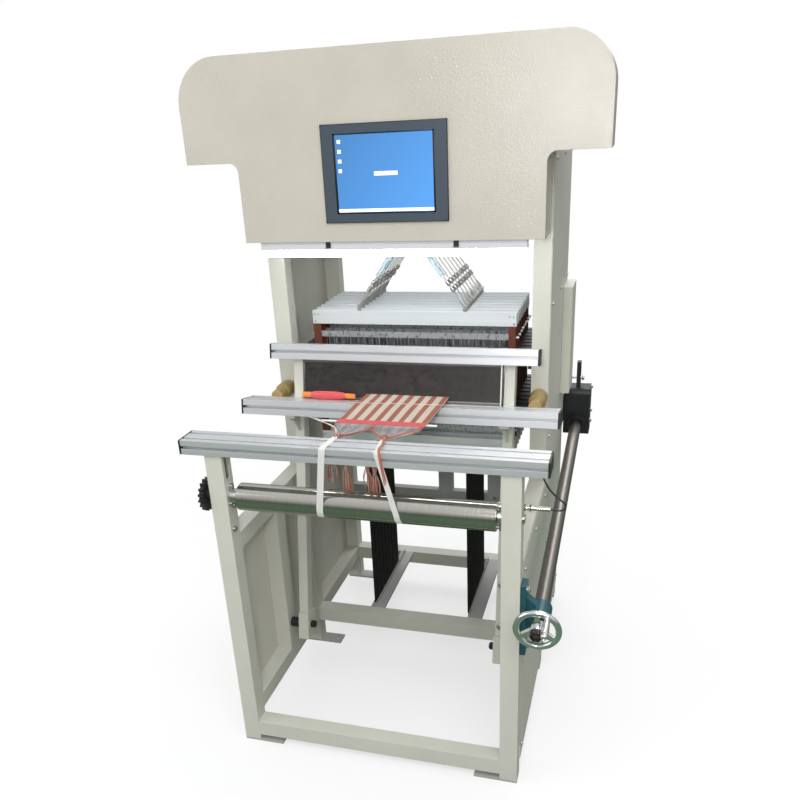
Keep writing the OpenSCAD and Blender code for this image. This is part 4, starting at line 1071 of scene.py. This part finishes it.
class LOOM_OT_warp(Operator):
    """Warp yarns from the reed through the heddle eyes to the back rest and down to the beam"""

    bl_idname = "loom.warp"
    bl_label = "Warp through the healds"

    def execute(self, context):
        reed_y = 482
        yarns = context.scene.loom_warp.yarns
        total = yarns * 8
        for i, body in enumerate(HEALDS):
            y = heald_y(i)
            kind = "terracotta yarn" if i % 3 == 0 else "straw yarn"
            places = [WARP_LEFT + WARP_WIDTH * (k * 8 + i + 0.5) / total for k in range(yarns)]
            for name, first, second, start, end in (
                ("front", "frame", body, reed_y, y),
                ("back", body, "frame", y, WARP_END_Y),
            ):
                routes = [self.line(x, start, end) for x in places]
                piece = strands(f"warp_{name}_{i + 1}", routes, 0.0005, kind, 0, 1)
                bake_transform(piece)
        self.over_back_rest(total)
        return {"FINISHED"}

    def line(self, x, start, end):
        """A level yarn in steps."""
        steps = 10
        return [at(x, start + (end - start) * k / steps, WARP_Z) for k in range(steps + 1)]

    def over_back_rest(self, total):
        """Yarns round the back rest and down to the wound beam."""
        rest_y, rest_z, rest_r = 1130, 979.7, 24.9
        beam_y, beam_z, wound_r = 1150, 762, 75.9
        leave_y, touch = rest_y + rest_r, math.radians(-5)
        touch_y, touch_z = beam_y + wound_r * math.cos(touch), beam_z + wound_r * math.sin(touch) + 20
        path = [(WARP_END_Y, WARP_Z)]
        for angle in (80, 60, 40, 20, 5):
            a = math.radians(angle)
            path.append((rest_y + rest_r * math.cos(a), rest_z + rest_r * math.sin(a)))
        for share in (0.3, 0.65, 1.0):
            path.append((leave_y + (touch_y - leave_y) * share, rest_z + (touch_z - rest_z) * share))
        places = [WARP_LEFT + WARP_WIDTH * (k * 2 + 1) / total for k in range(total // 2)]
        routes = [[at(x, y, z) for y, z in path] for x in places]
        fit(strands("warp_to_beam", routes, 0.0005, "straw yarn", 0, 1), "frame", "straw yarn")
        roll = bar("warp_roll", at(-112, beam_y, beam_z), at(145, beam_y, beam_z), 0.0755, 64, 0.001)
        fit(roll, "beam", "straw yarn")


class LOOM_OT_tapes(Operator):
    """Two cotton tapes from the knots over the breast beam to the cloth roller"""

    bl_idname = "loom.tapes"
    bl_label = "Apron tapes"

    def execute(self, context):
        left = self.tape("apron_tape_left", -75, -82, -100, 9)
        right = self.tape("apron_tape_right", 57, 64, 109, 7.5)
        for tape, flat in ((left, (0.018, 0.291)), (right, (0.015, 0.297))):
            fit(tape, "frame", "cotton tape")
            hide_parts("apron_tapes")
        return {"FINISHED"}

    def tape(self, name, knot_x, beam_x, roller_x, half):
        """One tape, narrowed at its knot and turned towards its place on the roller."""
        roller_y, roller_z, r, meet = 25, 838, 38.9, 190
        edge_y, edge_z = -10.2, 1001
        meet_y = roller_y + r * math.cos(math.radians(meet))
        meet_z = roller_z + r * math.sin(math.radians(meet))
        line = [
            (knot_x, KNOT_Y, 1007.4), (knot_x, 74, 1007.3), (knot_x * 0.6 + beam_x * 0.4, 40, 1007.2),
            (beam_x, 8, 1007.1), (beam_x, -4, 1007.0), (beam_x, -8.8, 1005.4), (beam_x, edge_y, edge_z),
        ]
        over_beam = len(line)
        slant = roller_x - beam_x
        for share in (0.12, 0.3, 0.5, 0.7, 0.88, 1.0):
            y, z = edge_y + (meet_y - edge_y) * share, edge_z + (meet_z + 4 - edge_z) * share
            line.append((beam_x + slant * share, y, z))
        for angle in (198, 208, 218, 228):
            a = math.radians(angle)
            x = roller_x + slant * 0.003 * (angle - meet)
            line.append((x, roller_y + r * math.cos(a), roller_z + r * math.sin(a)))
        lean = math.atan2(slant, edge_z - meet_z)
        across = []
        for number in range(len(line)):
            width = half * MM * {0: 0.55, 1: 0.85}.get(number, 1.0)
            turn = lean if number >= over_beam else 0.0
            across.append(Vector((width * math.cos(turn), 0, width * math.sin(turn))))
        return ribbon(name, through(line), across, 0.0009)


class LOOM_OT_pirn(Operator):
    """Pirn wound with orange yarn between its two bare ends"""

    bl_idname = "loom.pirn"
    bl_label = "Pirn"

    def execute(self, context):
        n, r, gap = 170.0, 12.5, 0.3
        wound_from, wound_to = 0.0275, 0.1385
        profile = [
            (0, 0), (0, r * 0.56), (1.2, r * 0.68), (24, r * 0.72), (26, r * 0.55), (29, r * 0.66), (35, r * 0.86),
            (50, r * 0.97), (n * 0.45, r), (n - 55, r * 0.96), (n - 40, r * 0.82), (n - 34, r * 0.66),
            (n - 31, r * 0.56), (n - 28, r * 0.66), (n - 3, r * 0.62), (n - 1, r * 0.5), (n, 0),
        ]
        mesh = bpy.data.meshes.new("wound_pirn")
        corners = [(x * MM, 0, z * MM) for x, z in profile]
        mesh.from_pydata(corners, [(i, i + 1) for i in range(len(profile) - 1)], [])
        piece = linked("wound_pirn", mesh)
        only(piece)
        bpy.ops.object.mode_set(mode="EDIT")
        bpy.ops.mesh.select_all(action="SELECT")
        bpy.ops.mesh.spin(steps=36, angle=2 * math.pi, center=(0, 0, 0), axis=(1, 0, 0))
        bpy.ops.mesh.select_all(action="SELECT")
        bpy.ops.mesh.remove_doubles(threshold=0.00002)
        bpy.ops.mesh.normals_make_consistent(inside=False)
        bpy.ops.object.mode_set(mode="OBJECT")
        bpy.ops.object.shade_smooth_by_angle(angle=math.radians(40))
        fit(piece, "batten", "orange yarn")
        piece.data.materials.append(bpy.data.materials["orange cap"])
        for face in piece.data.polygons:
            face.material_index = 0 if wound_from < face.center.x < wound_to else 1
        onto_batten(piece, -304, -28 - r - gap, 759 + r + gap)
        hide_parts("pirn")
        return {"FINISHED"}


class LOOM_OT_monitor(Operator):
    """Rim, inner frame and plain picture of the touch monitor"""

    bl_idname = "loom.monitor"
    bl_label = "Monitor"

    def execute(self, context):
        rim_y, glass_y = 394, 396.5
        rim = ((-171, 121, 171, 124), (-171, -124, 171, -121), (-171, -124, -168, 124), (168, -124, 171, 124))
        inner = ((-138, 97, 138, 101), (-138, -101, 138, -96), (-138, -101, -132, 101), (132, -101, 138, 101))
        edge = self.slabs(rim, rim_y, rim_y + 6.5, 0.001) + self.slabs(inner, glass_y - 1.2, glass_y + 0.2, 0.0004)
        fit(joined("monitor_rim", edge), "frame", "bezel rim")
        bars = ((-132, -96, 132, -88), (-28, -5, 36, 5))
        marks = [(-126, 76 - k * 24, -117, 85 - k * 24) for k in range(4)]
        near, far = glass_y - 0.35, glass_y + 0.1
        picture = self.slabs(bars, near, far) + self.slabs(marks, near, far, 0.0001)
        fit(joined("screen_marks", picture), "frame", "screen bar")
        return {"FINISHED"}

    def slabs(self, outlines, near, far, edge=0.0):
        """Flat blocks: each outline gives left, foot, right and top in millimetres from the screen's middle."""
        return [
            block("slab", at(left, near, SCREEN_Z + foot), at(right, far, SCREEN_Z + top), edge)
            for left, foot, right, top in outlines
        ]


class LOOM_OT_fasteners(Operator):
    """Screws, bolts, a pin and an oil nipple that show on the frame, batten, bracket and gear housing"""

    bl_idname = "loom.fasteners"
    bl_label = "Fasteners"

    def execute(self, context):
        self.batten_bolts()
        self.frame_screws()
        self.oiler()
        self.gear_fittings()
        return {"FINISHED"}

    def batten_bolts(self):
        """Bolts on the right sword's front, and under the race beam."""
        forward, down = (on_batten(*way) - on_batten(0, 0, 0) for way in ((0, -1, 0), (0, 0, -1)))
        parts = [hex_bolt("sword bolt", on_batten(325, -20, z), forward, 0.019, socket=True) for z in (77, 213)]
        parts += [hex_bolt("beam bolt", on_batten(x, -76, 705), down, 0.016) for x in (-325, 325)]
        fit(joined("batten_bolts", parts), "batten", "bolt steel")

    def frame_screws(self):
        """Screws in the left leg, and in the side sheets and the tower at both sides."""
        parts = [hex_bolt("leg screw", at(-375, 17, z), (1, 0, 0), 0.014, socket=True) for z in (817, 739)]
        sheet = [(y, z) for y in (70, 300, 530) for z in (90, 380, 670)]
        tower = [(y, z) for y in (590, 820, 1050) for z in (90, 480, 844, 1250, 1640)]
        for y, z in sheet + tower:
            for side in (1, -1):
                seat = at(side * 427, y, z)
                parts.append(hex_bolt("side screw", seat, (side, 0, 0), 0.010, washer=False, socket=True))
        fit(joined("frame_screws", parts), "frame", "bolt steel")

    def oiler(self):
        """Oil nipple on the side shaft's bracket."""
        seat = at(500, 30, 552)
        parts = [
            hex_bolt("oiler", seat, (0.8, -0.5, -0.2), 0.011, washer=False),
            bar("oiler tube", at(494, 33, 556), seat, 0.0028, 12),
        ]
        fit(joined("bracket_oiler", parts), "frame", "nickelled brass")

    def gear_fittings(self):
        """Pin in the upper part of the rear gear housing, and the housing's bolts."""
        parts = [
            bar("pin", at(427, 1150, 862), at(492, 1150, 862), 0.0045, 14, 0.0006),
            bar("pin head", at(486, 1150, 862), at(494, 1150, 862), 0.009, 18, 0.001),
        ]
        parts += [hex_bolt("housing bolt", at(520, 1150, z), (1, 0, 0), 0.014) for z in (700, 740, 830)]
        fit(joined("gear_fittings", parts), "frame", "bolt steel")


class LOOM_PT_panel(Panel):
    """Lists the loom's pieces in the sidebar"""

    bl_idname = "LOOM_PT_panel"
    bl_label = "Sample shuttle loom"
    bl_space_type = "VIEW_3D"
    bl_region_type = "UI"
    bl_category = "Loom"

    def draw(self, context):
        for group in GROUPS:
            settings = getattr(context.scene, group)
            for name in settings.__annotations__:
                self.layout.prop(settings, name)
        for operator in OPERATORS:
            self.layout.operator(operator.bl_idname)


GROUPS = {"loom_finishes": LoomFinishes, "loom_warp": LoomWarp, "loom_light": LoomLight}
OPERATORS = (
    LOOM_OT_stage,
    LOOM_OT_finishes,
    LOOM_OT_sensor_cable,
    LOOM_OT_healds,
    LOOM_OT_cable_sleeves,
    LOOM_OT_bands,
    LOOM_OT_reed,
    LOOM_OT_cloth,
    LOOM_OT_warp,
    LOOM_OT_tapes,
    LOOM_OT_pirn,
    LOOM_OT_monitor,
    LOOM_OT_fasteners,
)
CLASSES = (*GROUPS.values(), *OPERATORS, LOOM_PT_panel)


def register():
    for cls in CLASSES:
        bpy.utils.register_class(cls)
    for name, group in GROUPS.items():
        setattr(bpy.types.Scene, name, PointerProperty(type=group))


def unregister():
    for name in GROUPS:
        delattr(bpy.types.Scene, name)
    for cls in reversed(CLASSES):
        bpy.utils.unregister_class(cls)


def main():
    register()
    bpy.ops.loom.stage()
    bpy.ops.loom.finishes()
    bpy.ops.loom.sensor_cable()
    bpy.ops.loom.healds()
    bpy.ops.loom.cable_sleeves()
    bpy.ops.loom.bands()
    bpy.ops.loom.reed()
    bpy.ops.loom.cloth()
    bpy.ops.loom.warp()
    bpy.ops.loom.tapes()
    bpy.ops.loom.pirn()
    bpy.ops.loom.monitor()
    bpy.ops.loom.fasteners()


if __name__ == "__main__":
    main()
